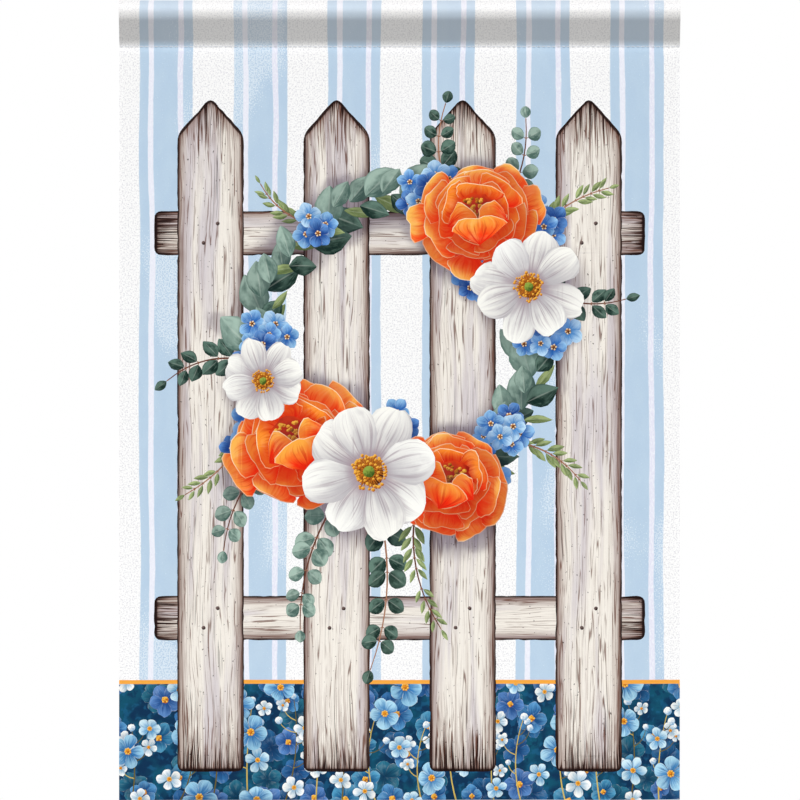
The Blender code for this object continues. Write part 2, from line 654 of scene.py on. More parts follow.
class Paint(Enum):
    """The prints on the cloth. Each holds its material's name and its finish."""

    STRIPES = ("printed_stripes", StripePaint())
    MEADOW = ("printed_meadow", MeadowPaint())
    BOARD = ("printed_boards", BoardPaint())
    PETAL = ("printed_petals", PetalPaint())
    LEAF = ("printed_leaves", LeafPaint())
    DAB = ("printed_dabs", DabPaint())


# ---------------------------------------------------------------------------------------------- print layout


@dataclass(frozen=True)
class Brush:
    """Two colours and a way of painting between them."""

    deep: Colour = (0.0, 0.0, 0.0)
    light: Colour = (0.0, 0.0, 0.0)
    vein: float = 0.6
    rim: float = 0.0

    def scaled(self, share: float) -> "Brush":
        """The same brush with its colours made lighter or darker by a factor."""
        deep, light = (tuple(min(1.0, c * share) for c in colour) for colour in (self.deep, self.light))
        return replace(self, deep=deep, light=light)

    def varied(self, rnd: Random, amount: float) -> "Brush":
        """The same brush, lighter or darker by a chance share of up to an amount."""
        return self.scaled(1 + rnd.uniform(-amount, amount))


def two_tone(deep: Steps, light: Steps, vein: float = 0.6, rim: float = 0.0) -> Brush:
    """Brush from two colours in display steps."""
    return Brush(display(*deep), display(*light), vein, rim)


@dataclass(frozen=True)
class Cut:
    """Cut of a petal or leaf: place and fullness of its widest part, ruffle, and points along each side."""

    crown: float
    fullness: float
    ruffle: float
    points: int
    paint: Paint = Paint.PETAL


@dataclass(frozen=True)
class Region:
    """One printed shape: its outline, its paint, and the frame that its paint is measured in."""

    outline: tuple[Point, ...]
    paint: Paint
    brush: Brush = Brush()
    base: Point = 0j
    heading: float = 0.0
    length: float = 1.0
    half_width: float = 1.0
    bend: float = 0.0
    seed: float = 0.0
    form: Triple = (1.3, 0.62, 0.0)


@dataclass(frozen=True)
class Soft:
    """Softness of a shadow: its full radius, how far it fades past that, and its strength."""

    radius: float
    reach: float
    strength: float


@dataclass(frozen=True)
class Shade:
    """Soft shadow, round or drawn out along a line, that a shape throws on what was printed before it."""

    start: Point
    end: Point
    radius: float
    reach: float
    strength: float
    below: int


def curve(start: Point, knee: Point, end: Point, shares: Iterable[float]) -> list[Point]:
    """Places along a curve that bends towards its knee."""
    return [(1 - t) ** 2 * start + 2 * t * (1 - t) * knee + t * t * end for t in shares]


def bow(start: Point, end: Point, sag: float, steps: int = 9) -> list[Point]:
    """Points along an arc whose height, to the left of its way, is a share of its span."""
    knee = (start + end) / 2 + (end - start) * 2j * sag
    return curve(start, knee, end, (step / steps for step in range(steps + 1)))


def tilted(reach: float, angle: float, lean: float, squash: float, lift: float = 0.0) -> Point:
    """Place on a flower that is narrowed along the way that it leans, and lifted along it."""
    spot = rect(reach, angle - lean)
    return complex(spot.real * squash + lift, spot.imag) * rect(1, lean)


def scatter(count: int, tries: int, draw: Callable[[], Point]) -> list[Point]:
    """Evenly loose places.

    Args:
        count: How many.
        tries: How many are drawn for each, of which the one farthest from its neighbours is kept.
        draw: Draws a place.

    Returns:
        The places.
    """
    placed: list[Point] = []
    for _ in range(count):
        drawn = [draw() for _ in range(tries)]
        placed.append(max(drawn, key=lambda spot: min((abs(spot - other) for other in placed), default=0.0)))
    return placed


@dataclass
class Layout:
    """The print, shape by shape, from the ground up, with the source of its unevenness."""

    regions: list[Region] = field(default_factory=list)
    shades: list[Shade] = field(default_factory=list)
    creases: list[list[Point]] = field(default_factory=list)
    rnd: Random = field(default_factory=lambda: Random(0))

    def add(self, outline: list[Point], paint: Paint, brush: Brush, **places: object) -> None:
        """Print a shape over the earlier ones.

        Args:
            outline: Its outline, either way round.
            paint: Its print.
            brush: Its colours.
            **places: The frame that its paint is measured in.
        """
        turns = sum((a.conjugate() * b).imag for a, b in zip(outline, outline[1:] + outline[:1], strict=True))
        ring = tuple(outline if turns > 0 else reversed(outline))
        self.regions.append(Region(ring, paint, brush, seed=self.rnd.uniform(0, 9), **places))

    def cast(self, at: Point, soft: Soft, size: float = 1.0, far: Point | None = None) -> None:
        """Shade what is printed so far around a place, or along the line from it to a far one.

        Args:
            at: The place.
            soft: The shadow, whose radius and reach are shares of the size.
            size: What they are shares of, in millimetres.
            far: The line's far end.
        """
        end = at if far is None else far
        radius, reach = size * soft.radius, size * soft.reach
        self.shades.append(Shade(at, end, radius, reach, soft.strength, len(self.regions)))

    def sheet(self, low: Point, high: Point, paint: Paint) -> None:
        """Print an upright rectangle."""
        corners = (low, complex(high.real, low.imag), high, complex(low.real, high.imag))
        self.regions.append(Region(corners, paint))

    def blade(
        self, ends: Ends, half_width: float, brush: Brush, cut: Cut, bend: float = 0.0, notch: float = 0.0
    ) -> None:
        """Print a petal or a leaf.

        Args:
            ends: Its base and its tip.
            half_width: Half its breadth at the widest place.
            brush: Its colours.
            cut: Its cut.
            bend: Sideways bow at the tip, as a share of its length.
            notch: Depth of the cleft in its tip, as a share of its length.
        """
        (base, tip), rnd, last = ends, self.rnd, cut.points
        heading, length = phase(tip - base), max(0.2, abs(tip - base))
        waves = [(rnd.uniform(2, 3.2), rnd.uniform(0, TURN)), (rnd.uniform(4, 6), rnd.uniform(0, TURN))]

        def edge(step: int, sign: int) -> Point:
            """Point on one side of the outline.

            Args:
                step: Its number from the base.
                sign: 1 on the left side, -1 on the right one.

            Returns:
                The point.
            """
            share = 0.5 - 0.5 * math.cos(math.pi * step / last)
            wave = sum(math.sin(pace * share * math.pi + offset + sign) for pace, offset in waves) / 2
            width = math.sin(math.pi * share**cut.crown) ** cut.fullness if 0 < step < last else 0.0
            across = sign * half_width * width * (1 + cut.ruffle * wave) + bend * length * share**2
            along = length * (share + cut.ruffle * 0.5 * wave * share**3)
            cleft = notch * length * math.exp(-((width / 0.42) ** 2)) * (share > 0.5)
            return base + complex(along - cleft, across) * rect(1, heading)

        left = [edge(step, 1) for step in range(last + 1)]
        right = [edge(step, -1) for step in range(last - 1, 0, -1)]
        self.add(
            left + right,
            cut.paint,
            brush,
            base=base,
            heading=heading,
            length=length,
            half_width=half_width,
            bend=bend * length / half_width,
            form=(cut.crown, cut.fullness, math.cos(heading + math.pi / 2 - SUNWARD)),
        )

    def dab(self, centre: Point, radius: float, brush: Brush, points: int, squash: float = 1.0) -> None:
        """Print a small round dab, lit from the upper left.

        Args:
            centre: Its middle.
            radius: Its radius.
            brush: Its colours.
            points: Points round it.
            squash: Its height as a share of its breadth.
        """
        turn, outline = self.rnd.uniform(0, TURN), []
        for step in range(points):
            spot = rect(radius * self.rnd.uniform(0.9, 1.1), turn + TURN * step / points)
            outline.append(centre + complex(spot.real, spot.imag * squash))
        heading = SUNWARD - math.pi / 2
        self.add(outline, Paint.DAB, brush, base=centre, heading=heading, length=radius, half_width=radius)

    def stem(self, path: list[Point], breadth: float, brush: Brush) -> None:
        """Print a tapering stem.

        Args:
            path: Points along its middle.
            breadth: Its width at the root.
            brush: Its colours.
        """
        last = len(path) - 1
        sides = []
        for index in range(last + 1):
            way = phase(path[min(last, index + 1)] - path[max(0, index - 1)])
            sides.append(rect(breadth / 2 * (1 - 0.55 * index / last), way + math.pi / 2))
        left = [point + side for point, side in zip(path, sides, strict=True)]
        right = [point - side for point, side in zip(path, sides, strict=True)]
        reach = path[-1] - path[0]
        places = {"base": path[0], "heading": phase(reach), "length": abs(reach), "half_width": breadth / 2}
        self.add(left + right[::-1], Paint.DAB, brush, **places)


# --------------------------------------------------------------------------------------------------- motifs


class Palette:
    """Colours of the printed motifs."""

    ORANGE_OUTER = two_tone((246, 46, 6), (255, 180, 82), 0.85)
    ORANGE_MIDDLE = two_tone((244, 40, 6), (255, 170, 66), 0.85)
    ORANGE_INNER = two_tone((228, 26, 6), (255, 142, 44), 0.85)
    ORANGE_RIM = two_tone((240, 150, 96), (255, 216, 176), 0.0)
    BOWL = two_tone((150, 18, 8), (222, 62, 14))
    WHITE = two_tone((190, 186, 190), (255, 254, 248), 0.75, -0.6)
    BLUE = two_tone((40, 104, 184), (148, 198, 240), 0.6, 0.6)
    PALE_BLUE = two_tone((78, 142, 206), (190, 224, 250), 0.6, 0.6)
    DEEP_BLUE = two_tone((22, 66, 140), (96, 148, 214), 0.6, 0.5)
    SAGE = two_tone((74, 102, 94), (158, 182, 170), 0.1)
    FOREST = two_tone((16, 42, 36), (96, 124, 112), 0.1)
    OLIVE = two_tone((94, 112, 66), (168, 184, 126), 0.5)
    STEM = two_tone((104, 62, 48), (166, 118, 92))
    STAMEN = two_tone((166, 80, 10), (252, 190, 72))
    STAMEN_DARK = two_tone((92, 40, 10), (204, 118, 28))
    HEART = two_tone((58, 84, 26), (146, 170, 70))
    GOLD = two_tone((214, 132, 30), (255, 214, 100))
    AMBER = two_tone((170, 84, 12), (238, 150, 40))
    BARK = two_tone((74, 34, 14), (176, 104, 44))
    CREAM = two_tone((214, 176, 122), (255, 244, 214))
    NAIL = two_tone((44, 30, 30), (120, 100, 96))
    MEADOW_STEM = two_tone((104, 92, 40), (208, 182, 92))
    BUD = two_tone((140, 178, 210), (254, 255, 252))
    DIM = (
        two_tone((16, 62, 106), (40, 100, 148), 0.6, 0.4),
        two_tone((14, 68, 98), (40, 112, 138), 0.6, 0.4),
        two_tone((20, 68, 122), (52, 112, 168), 0.6, 0.4),
    )
    MIDDLE = (
        two_tone((26, 84, 142), (86, 150, 200), 0.8, 0.45),
        two_tone((34, 78, 140), (88, 134, 194), 0.8, 0.45),
        two_tone((18, 86, 134), (80, 156, 194), 0.8, 0.45),
    )
    LARGE = (
        two_tone((50, 118, 178), (152, 204, 232), 0.95, 0.6),
        two_tone((64, 130, 186), (170, 216, 238), 0.95, 0.6),
    )
    PALE = (
        two_tone((124, 172, 206), (244, 250, 251), 0.7, 0.4),
        two_tone((150, 186, 208), (254, 254, 250), 0.7, 0.4),
        two_tone((92, 158, 204), (208, 234, 244), 0.7, 0.5),
    )


@dataclass(frozen=True)
class Bloom:
    """Full orange flower: rings of ruffled petals round a cup of stamens, seen a little from the side.

    Each ring has its number of petals, its reach, their breadth, where they are rooted, how far the ring is
    lifted, and its colours. Each petal in front has its turn, its breadth and its reach. Sizes are shares of
    the flower's radius, apart from the hem and the drop, which are in millimetres, and the radius of the
    shadow under a petal, which is a share of the petal's half breadth.
    """

    centre: Point
    radius: float
    seed: int
    lean: float
    squash: float = 0.84
    hem: float = 0.45
    drop: Point = 1.5 - 3.0j
    petal_drop: Point = 0.03 - 0.05j
    knee: float = 0.66
    sunlight: float = 0.12
    ground: float = 0.8
    heart: float = 0.30
    heart_lift: float = 0.17
    heart_squash: float = 0.74
    front_lift: float = 0.10
    front_root: float = 0.04
    stamens: int = 44
    stamen_spread: float = 0.24
    stamen_sizes: Span = (0.024, 0.038)
    under: Soft = Soft(0.8, 0.38, 0.75)
    under_petal: Soft = Soft(0.82, 0.13, 0.62)
    round_heart: Soft = Soft(0.22, 0.18, 0.7)
    in_heart: Soft = Soft(0.12, 0.12, 0.8)
    cut: Cut = Cut(1.6, 0.62, 0.13, 12)
    rings: tuple[tuple[int, float, float, float, float, Brush], ...] = (
        (9, 1.0, 0.33, 0.50, 0.0, Palette.ORANGE_OUTER),
        (8, 0.85, 0.34, 0.42, 0.03, Palette.ORANGE_OUTER),
        (6, 0.69, 0.38, 0.26, 0.07, Palette.ORANGE_MIDDLE),
        (5, 0.51, 0.36, 0.10, 0.12, Palette.ORANGE_INNER),
    )
    front: tuple[Triple, ...] = ((-1.15, 0.25, 0.50), (1.15, 0.25, 0.50), (0.0, 0.38, 0.58))

    def place(self, reach: float, angle: float, lift: float) -> Point:
        """Point on the tilted flower."""
        return self.centre + tilted(reach, angle, self.lean, self.squash, lift * self.radius)

    def petal(self, layout: Layout, ends: Ends, half_width: float, brush: Brush) -> None:
        """Print one petal on its thin pale rim, with the shadow that it throws.

        Args:
            layout: The print.
            ends: Its base and its tip.
            half_width: Half its breadth.
            brush: Its colours.
        """
        base, tip = ends
        heading = phase(tip - base)
        sunlit = (1 + self.sunlight * math.cos(heading - SUNWARD)) * layout.rnd.uniform(0.92, 1.08)
        drop, under = self.petal_drop * self.radius, self.under_petal
        knee = base + (tip - base) * self.knee
        soft = Soft(half_width * under.radius, self.radius * under.reach, under.strength)
        layout.cast(base + drop, soft, far=knee + drop)
        bend, notch = layout.rnd.uniform(-0.12, 0.12), layout.rnd.choice((0.0, 0.06, 0.11))
        state = layout.rnd.getstate()
        for hem, paint in ((self.hem, Palette.ORANGE_RIM), (0.0, brush)):
            layout.rnd.setstate(state)
            ends = (base, tip + rect(hem, heading))
            layout.blade(ends, half_width + hem, paint.scaled(sunlit), self.cut, bend, notch)

    def draw(self, layout: Layout) -> None:
        """Print the flower.

        Args:
            layout: The print.
        """
        rnd = layout.rnd = Random(self.seed)
        size = self.radius
        layout.cast(self.centre + self.drop, self.under, size)
        layout.dab(self.centre, size * self.ground, Palette.ORANGE_INNER, 20, self.squash)
        for count, reach, breadth, root, lift, brush in self.rings:
            turn = rnd.uniform(0, TURN)
            order = list(range(count))
            rnd.shuffle(order)
            for step in order:
                angle = turn + TURN * (step + rnd.uniform(-0.2, 0.2)) / count
                far = size * reach * rnd.uniform(0.88, 1.09)
                ends = (self.place(far * root, angle, lift), self.place(far, angle, lift))
                self.petal(layout, ends, size * breadth * rnd.uniform(0.85, 1.08), brush)
        heart = self.place(0, 0, self.heart_lift)
        layout.cast(heart, self.round_heart, size)
        layout.dab(heart, size * self.heart, Palette.BOWL, 20, self.heart_squash)
        layout.cast(heart, self.in_heart, size)
        for _ in range(self.stamens):
            spot = rect(size * self.stamen_spread * math.sqrt(rnd.random()), rnd.uniform(0, TURN))
            brush = Palette.STAMEN if rnd.random() < 0.68 else Palette.STAMEN_DARK
            low = heart + complex(spot.real, spot.imag * 0.66)
            layout.dab(low, size * rnd.uniform(*self.stamen_sizes), brush, 6, 0.9)
        for turn, breadth, reach in self.front:
            angle = self.lean + math.pi + turn
            ends = tuple(self.place(size * far, angle, self.front_lift) for far in (reach, self.front_root))
            self.petal(layout, ends, size * breadth, Palette.ORANGE_MIDDLE)


@dataclass(frozen=True)
class Cosmos:
    """White open flower with eight broad petals in two layers, and an outer and an inner ring of stamens.

    Sizes are shares of its radius, apart from the drop, which is in millimetres, and the radius of the shadow
    under a petal, which is a share of the petal's half breadth.
    """

    centre: Point
    radius: float
    seed: int
    petals: int = 8
    breadths: Span = (0.29, 0.34)
    root: float = 0.06
    reaches: Span = (0.93, 1.05)
    knee: float = 0.66
    drop: Point = 1.5 - 3.0j
    heart: float = 0.20
    middle: float = 0.085
    stamens: tuple[int, int] = (46, 20)
    outer_ring: Span = (0.17, 0.26)
    inner_ring: Span = (0.09, 0.15)
    outer_sizes: Span = (0.020, 0.030)
    inner_size: float = 0.024
    stalk_root: float = 0.08
    stalk_breadth: float = 0.022
    under: Soft = Soft(0.74, 0.4, 0.75)
    under_petal: Soft = Soft(0.72, 0.12, 0.34)
    round_heart: Soft = Soft(0.20, 0.16, 0.55)
    cut: Cut = Cut(1.5, 0.6, 0.08, 13)

    def draw(self, layout: Layout) -> None:
        """Print the flower.

        Args:
            layout: The print.
        """
        rnd = layout.rnd = Random(self.seed)
        size, centre, under = self.radius, self.centre, self.under_petal
        layout.cast(centre + self.drop, self.under, size)
        turn = rnd.uniform(0, TURN)
        for offset in (0.0, 0.5):
            for step in range(self.petals // 2):
                angle = turn + TURN * (step + offset + rnd.uniform(-0.07, 0.07)) / (self.petals / 2)
                breadth = size * rnd.uniform(*self.breadths)
                soft = Soft(breadth * under.radius, size * under.reach, under.strength)
                layout.cast(centre, soft, far=centre - 1j + rect(size * self.knee, angle))
                reaches = (self.root, rnd.uniform(*self.reaches))
                ends = tuple(centre + rect(size * reach, angle) for reach in reaches)
                brush = Palette.WHITE.varied(rnd, 0.03)
                bend, notch = rnd.uniform(-0.06, 0.06), rnd.choice((0.03, 0.07))
                layout.blade(ends, breadth, brush, self.cut, bend, notch)
        layout.cast(centre, self.round_heart, size)
        layout.dab(centre, size * self.heart, Palette.BARK, 18)
        outer, inner = self.stamens
        for index in range(outer):
            way, reach = rect(1, GOLDEN * index), size * rnd.uniform(*self.outer_ring)
            stalk = [centre + size * self.stalk_root * way, centre + reach * way]
            layout.stem(stalk, size * self.stalk_breadth, Palette.STAMEN_DARK)
            layout.dab(centre + reach * way, size * rnd.uniform(*self.outer_sizes), Palette.STAMEN, 6)
        for index in range(inner):
            spot = centre + rect(size * rnd.uniform(*self.inner_ring), GOLDEN * index + 1)
            brush = Palette.STAMEN if index % 3 else Palette.STAMEN_DARK
            layout.dab(spot, size * self.inner_size, brush, 6)
        layout.dab(centre, size * self.middle, Palette.HEART, 10)


@dataclass(frozen=True)
class Blossom:
    """Small flower of five round petals, whose sizes are shares of its radius."""

    centre: Point
    radius: float
    brush: Brush
    heart: Brush = Palette.BARK
    stamen: Brush = Palette.GOLD
    squash: float = 1.0
    stamens: int = 5
    breadth: float = 0.42
    cut: Cut = Cut(1.35, 0.7, 0.06, 7)
    petals: int = 5
    root: float = 0.03
    reaches: Span = (0.9, 1.06)
    heart_size: float = 0.19
    stamen_ring: float = 0.15
    stamen_size: float = 0.065

    def draw(self, layout: Layout) -> None:
        """Print the flower.

        Args:
            layout: The print.
        """
        rnd, centre, size = layout.rnd, self.centre, self.radius
        turn, lean = rnd.uniform(0, TURN), rnd.uniform(0, TURN)
        order = list(range(self.petals))
        rnd.shuffle(order)
        for step in order:
            angle = turn + TURN * (step + rnd.uniform(-0.08, 0.08)) / self.petals
            reaches = (self.root, rnd.uniform(*self.reaches))
            ends = tuple(centre + tilted(size * reach, angle, lean, self.squash) for reach in reaches)
            breadth = size * self.breadth * rnd.uniform(0.92, 1.08)
            layout.blade(ends, breadth, self.brush.varied(rnd, 0.12), self.cut)
        if self.stamens:
            layout.dab(centre, size * self.heart_size, self.heart, 8)
        for step in range(self.stamens):
            spot = centre + rect(size * self.stamen_ring, TURN * step / self.stamens + turn)
            layout.dab(spot, size * self.stamen_size, self.stamen, 5)


class Foliage(Enum):
    """Kinds of leaf: colours, cut, half breadth as a share of the length, and angle off the stem."""

    WILLOW = (Palette.OLIVE, Cut(0.9, 0.95, 0.03, 8, Paint.LEAF), 0.18, math.radians(36))
    DARK_BAY = (Palette.FOREST, Cut(0.95, 0.8, 0.03, 8, Paint.LEAF), 0.36, math.radians(48))
    COIN = (Palette.SAGE, Cut(1.05, 0.58, 0.03, 8, Paint.LEAF), 0.47, math.radians(62))
    DARK_COIN = (Palette.FOREST, Cut(1.05, 0.58, 0.03, 8, Paint.LEAF), 0.47, math.radians(62))


@dataclass(frozen=True)
class Spray:
    """Curved stem with pairs of leaves that grow smaller towards its tip."""

    start: Point
    end: Point
    sag: float
    pairs: int
    leaf: float
    kind: Foliage
    stalk: float = 1.4
    stem_breadth: float = 1.2
    stalk_breadth: float = 0.7
    first_leaves: float = 0.16
    steps: int = 12

    def draw(self, layout: Layout) -> None:
        """Print the spray.

        Args:
            layout: The print.
        """
        brush, cut, slim, spread = self.kind.value
        rnd = layout.rnd
        path = bow(self.start, self.end, self.sag, self.steps)
        layout.stem(path, self.stem_breadth, Palette.STEM)
        for index in range(self.pairs + 1):
            share = self.first_leaves + (1 - self.first_leaves) * index / self.pairs
            knot = round(share * self.steps)
            spot = path[knot]
            size = self.leaf * (1.08 - 0.45 * share) * rnd.uniform(0.9, 1.1)
            for side in (0.0,) if index == self.pairs else (1.0, -1.0):
                angle = phase(spot - path[knot - 1]) + side * spread * rnd.uniform(0.8, 1.2)
                base = spot + rect(self.stalk, angle)
                layout.stem([spot, base], self.stalk_breadth, Palette.STEM)
                ends, breadth = (base, base + rect(size, angle)), size * slim * rnd.uniform(0.88, 1.1)
                layout.blade(ends, breadth, brush.varied(rnd, 0.16), cut, -side * 0.08)


@dataclass(frozen=True)
class Fence:
    """Whitewashed picket fence: four pointed pickets on two rails, with two nails at each crossing."""

    pitch: float = 71.4
    half_width: float = 18.8
    peak: float = -55.0
    shoulder: float = -76.0
    foot: float = -437.0
    rails: Span = (-132.0, -350.0)
    rail_half_width: float = 12.5
    rail_reach: float = 139.0
    blunt: float = 4.6
    chip: float = 0.35
    wear: float = 0.16
    wear_step: float = 3.2
    nail: float = 1.15
    nail_offset: Point = 4.0 + 5.5j
    insets: tuple[float, ...] = (1.2, 4.0, 9.0)
    seed: int = 41

    def board(self, layout: Layout, corners: list[Point], base: Point, heading: float) -> None:
        """Print one board with a worn outline, and the lines that its shading needs.

        Args:
            layout: The print.
            corners: The board's corners.
            base: Middle of its first end.
            heading: Way that its grain runs.
        """
        rnd = layout.rnd
        outline = []
        for index, corner in enumerate(corners):
            before, after = corners[index - 1], corners[(index + 1) % len(corners)]
            way = rect(1, phase(after - corner))
            first = corner + self.blunt * way
            span = abs(after - corner) - 2 * self.blunt
            start = corner + rect(self.blunt, phase(before - corner))
            outline += curve(start, corner, first, (0.0, 0.25, 0.5, 0.75))
            steps = max(2, round(span / self.wear_step))
            for step in range(steps):
                chip = self.chip if rnd.random() < 0.12 else 0.0
                out = rnd.uniform(-self.wear, self.wear) - chip
                outline.append(first + (span * step / steps - out * 1j) * way)
        layout.add(outline, Paint.BOARD, Brush(), base=base, heading=heading)
        middle = sum(corners) / len(corners)
        for inset in self.insets:
            ways = [corner - middle for corner in corners]
            drawn = [complex(*np.clip((way.real, way.imag), -inset, inset)) for way in ways]
            layout.creases.append([corner - step for corner, step in zip(corners, drawn, strict=True)])

    def draw(self, layout: Layout) -> None:
        """Print the fence.

        Args:
            layout: The print.
        """
        layout.rnd = Random(self.seed)
        half, reach = self.half_width, complex(self.rail_reach)
        for height in self.rails:
            low, high = (height + side * self.rail_half_width for side in (-1, 1))
            corners = [low * 1j - reach, low * 1j + reach, high * 1j + reach, high * 1j - reach]
            self.board(layout, corners, height * 1j - reach, 0.0)
        foot, shoulder, peak = (height * 1j for height in (self.foot, self.shoulder, self.peak))
        for number in (-1.5, -0.5, 0.5, 1.5):
            x = number * self.pitch
            corners = [foot + x - half, foot + x + half, shoulder + x + half, peak + x, shoulder + x - half]
            self.board(layout, corners, foot + x, math.pi / 2)
            for rail in self.rails:
                for lift in (-1, 1):
                    layout.dab(x + rail * 1j + lift * self.nail_offset, self.nail, Palette.NAIL, 9)


@dataclass(frozen=True)
class Wreath:
    """Ring of leaves on the fence, with orange, white and blue flowers at its lower left and upper right.

    Each spray, bunch and flower starts with its angle in degrees and its distance outside the ring. A spray
    goes on with those of its tip, its sag, its pairs of leaves, their size and their kind. A bunch goes on
    with its number of flowers and its radius, and a large flower with its radius and its seed. A bloom has
    its lean as well. The shadow under a leaf takes its radius as a share of the leaf's half breadth.
    """

    centre: Point = -192j
    ring: float = 79.0
    seed: int = 11
    laps: int = 3
    leaves_a_lap: int = 36
    leaf_stray: float = 5.0
    leaf_turns: Span = (22, 52)
    leaf_sizes: tuple[Span, ...] = ((17, 25), (17, 25), (13, 19))
    leaf_breadths: Span = (0.33, 0.17)
    leaf_brushes: tuple[Brush, ...] = (Palette.FOREST, Palette.SAGE, Palette.OLIVE, Palette.SAGE)
    flow_start: int = 240
    blossom_sizes: Span = (7.6, 9.4)
    blossom_drop: Point = 0.5 - 1j
    shadow_step: int = 9
    under_ring: Soft = Soft(9.0, 14.0, 0.7)
    under_blossom: Soft = Soft(6.0, 3.4, 0.6)
    under_leaf: Soft = Soft(0.5, 3.2, 0.5)
    broad: Cut = Cut(0.95, 0.8, 0.04, 8, Paint.LEAF)
    slender: Cut = Cut(0.9, 0.95, 0.04, 8, Paint.LEAF)
    sprays: tuple[tuple[float | Foliage, ...], ...] = (
        (205, 10, 216, 70, 0.10, 9, 10.5, Foliage.WILLOW),
        (222, 12, 230, 76, -0.10, 5, 11.5, Foliage.COIN),
        (188, 8, 190, 54, -0.12, 4, 12.0, Foliage.DARK_BAY),
        (262, 14, 265, 108, 0.08, 6, 12.0, Foliage.DARK_COIN),
        (276, 14, 278, 86, -0.10, 9, 10.5, Foliage.WILLOW),
        (249, 16, 251, 94, -0.08, 6, 11.5, Foliage.COIN),
        (52, 8, 60, 64, -0.10, 5, 11.0, Foliage.COIN),
        (36, 10, 36, 66, 0.10, 9, 10.5, Foliage.WILLOW),
        (70, 6, 79, 56, 0.10, 5, 11.0, Foliage.DARK_COIN),
        (18, 8, 10, 50, -0.10, 4, 12.0, Foliage.DARK_BAY),
        (318, 8, 322, 50, 0.10, 7, 10.5, Foliage.WILLOW),
        (128, 4, 132, 38, 0.10, 6, 9.5, Foliage.WILLOW),
    )
    bunches: Rows = (
        (184, -2, 9, 16),
        (214, 22, 8, 14),
        (298, 12, 9, 16),
        (318, -2, 7, 12),
        (78, 4, 9, 15),
        (4, 4, 9, 15),
        (38, -22, 6, 11),
        (262, -26, 8, 13),
        (40, 24, 6, 11),
        (126, 0, 4, 8),
    )
    blooms: Rows = ((226, 4, 42, 5, 115), (288, 8, 37, 8, 70), (57, 2, 38, 9, 95))
    open_flowers: Rows = ((257, -2, 41, 21), (22, 0, 33, 22), (197, 2, 25, 23))

    def spot(self, degrees: float, out: float = 0.0) -> Point:
        """Point on the ring, or a distance outside it."""
        return self.centre + rect(self.ring + out, math.radians(degrees))

    def leaf(self, layout: Layout, lap: int, index: int) -> None:
        """Print one leaf of the ring, with its shadow.

        Args:
            layout: The print.
            lap: Which lap of leaves it is in.
            index: Its number in the lap.
        """
        rnd = layout.rnd
        degrees = 360 * (index + lap / self.laps) / self.leaves_a_lap
        flow = 1 if (degrees - self.flow_start) % 360 < 180 else -1
        side = 1 if (index + lap) % 2 else -1
        start = self.spot(degrees, rnd.uniform(-self.leaf_stray, self.leaf_stray))
        size = rnd.uniform(*self.leaf_sizes[lap])
        brush = self.leaf_brushes[(index * 3 + lap) % 4]
        turn = side * math.radians(rnd.uniform(*self.leaf_turns))
        way = math.radians(degrees) + flow * math.pi / 2 + turn
        broad, narrow = self.leaf_breadths
        slim = size * (narrow if brush is Palette.OLIVE else broad)
        tip = start + rect(size, way)
        soft = replace(self.under_leaf, radius=slim * self.under_leaf.radius)
        layout.cast(start, soft, far=tip)
        breadth, toned = slim * rnd.uniform(0.85, 1.15), brush.varied(rnd, 0.16)
        cut = self.broad if brush is Palette.SAGE else self.slender
        layout.blade((start, tip), breadth, toned, cut, rnd.uniform(-0.14, 0.14))

    def bunch(self, layout: Layout, heart: Point, count: int, spread: float) -> None:
        """Print a loose bunch of small blue flowers.

        Args:
            layout: The print.
            heart: Its middle.
            count: Number of flowers.
            spread: Its radius.
        """
        rnd = layout.rnd
        spots = scatter(
            count, 9, lambda: heart + rect(spread * math.sqrt(rnd.random()), rnd.uniform(0, TURN))
        )
        brushes = (Palette.BLUE, Palette.PALE_BLUE, Palette.BLUE, Palette.DEEP_BLUE, Palette.PALE_BLUE)
        for index, spot in enumerate(sorted(spots, key=lambda spot: -abs(spot - heart))):
            layout.cast(spot + self.blossom_drop, self.under_blossom)
            squash, size = rnd.uniform(0.8, 1.0), rnd.uniform(*self.blossom_sizes)
            Blossom(spot, size, brushes[index % 5], stamen=Palette.CREAM, squash=squash).draw(layout)

    def draw(self, layout: Layout) -> None:
        """Print the wreath.

        Args:
            layout: The print.
        """
        layout.rnd = Random(self.seed)
        for from_angle, start, to_angle, reach, *rest in self.sprays:
            Spray(self.spot(from_angle, start), self.spot(to_angle, reach), *rest).draw(layout)
        for degrees in range(0, 360, self.shadow_step):
            layout.cast(self.spot(degrees), self.under_ring)
        for lap in range(self.laps):
            for index in range(self.leaves_a_lap):
                self.leaf(layout, lap, index)
        for degrees, out, count, spread in self.bunches:
            self.bunch(layout, self.spot(degrees, out), count, spread)
        for degrees, out, size, seed, lean in self.blooms:
            Bloom(self.spot(degrees, out), size, seed, math.radians(lean)).draw(layout)
        for degrees, out, size, seed in self.open_flowers:
            Cosmos(self.spot(degrees, out), size, seed).draw(layout)


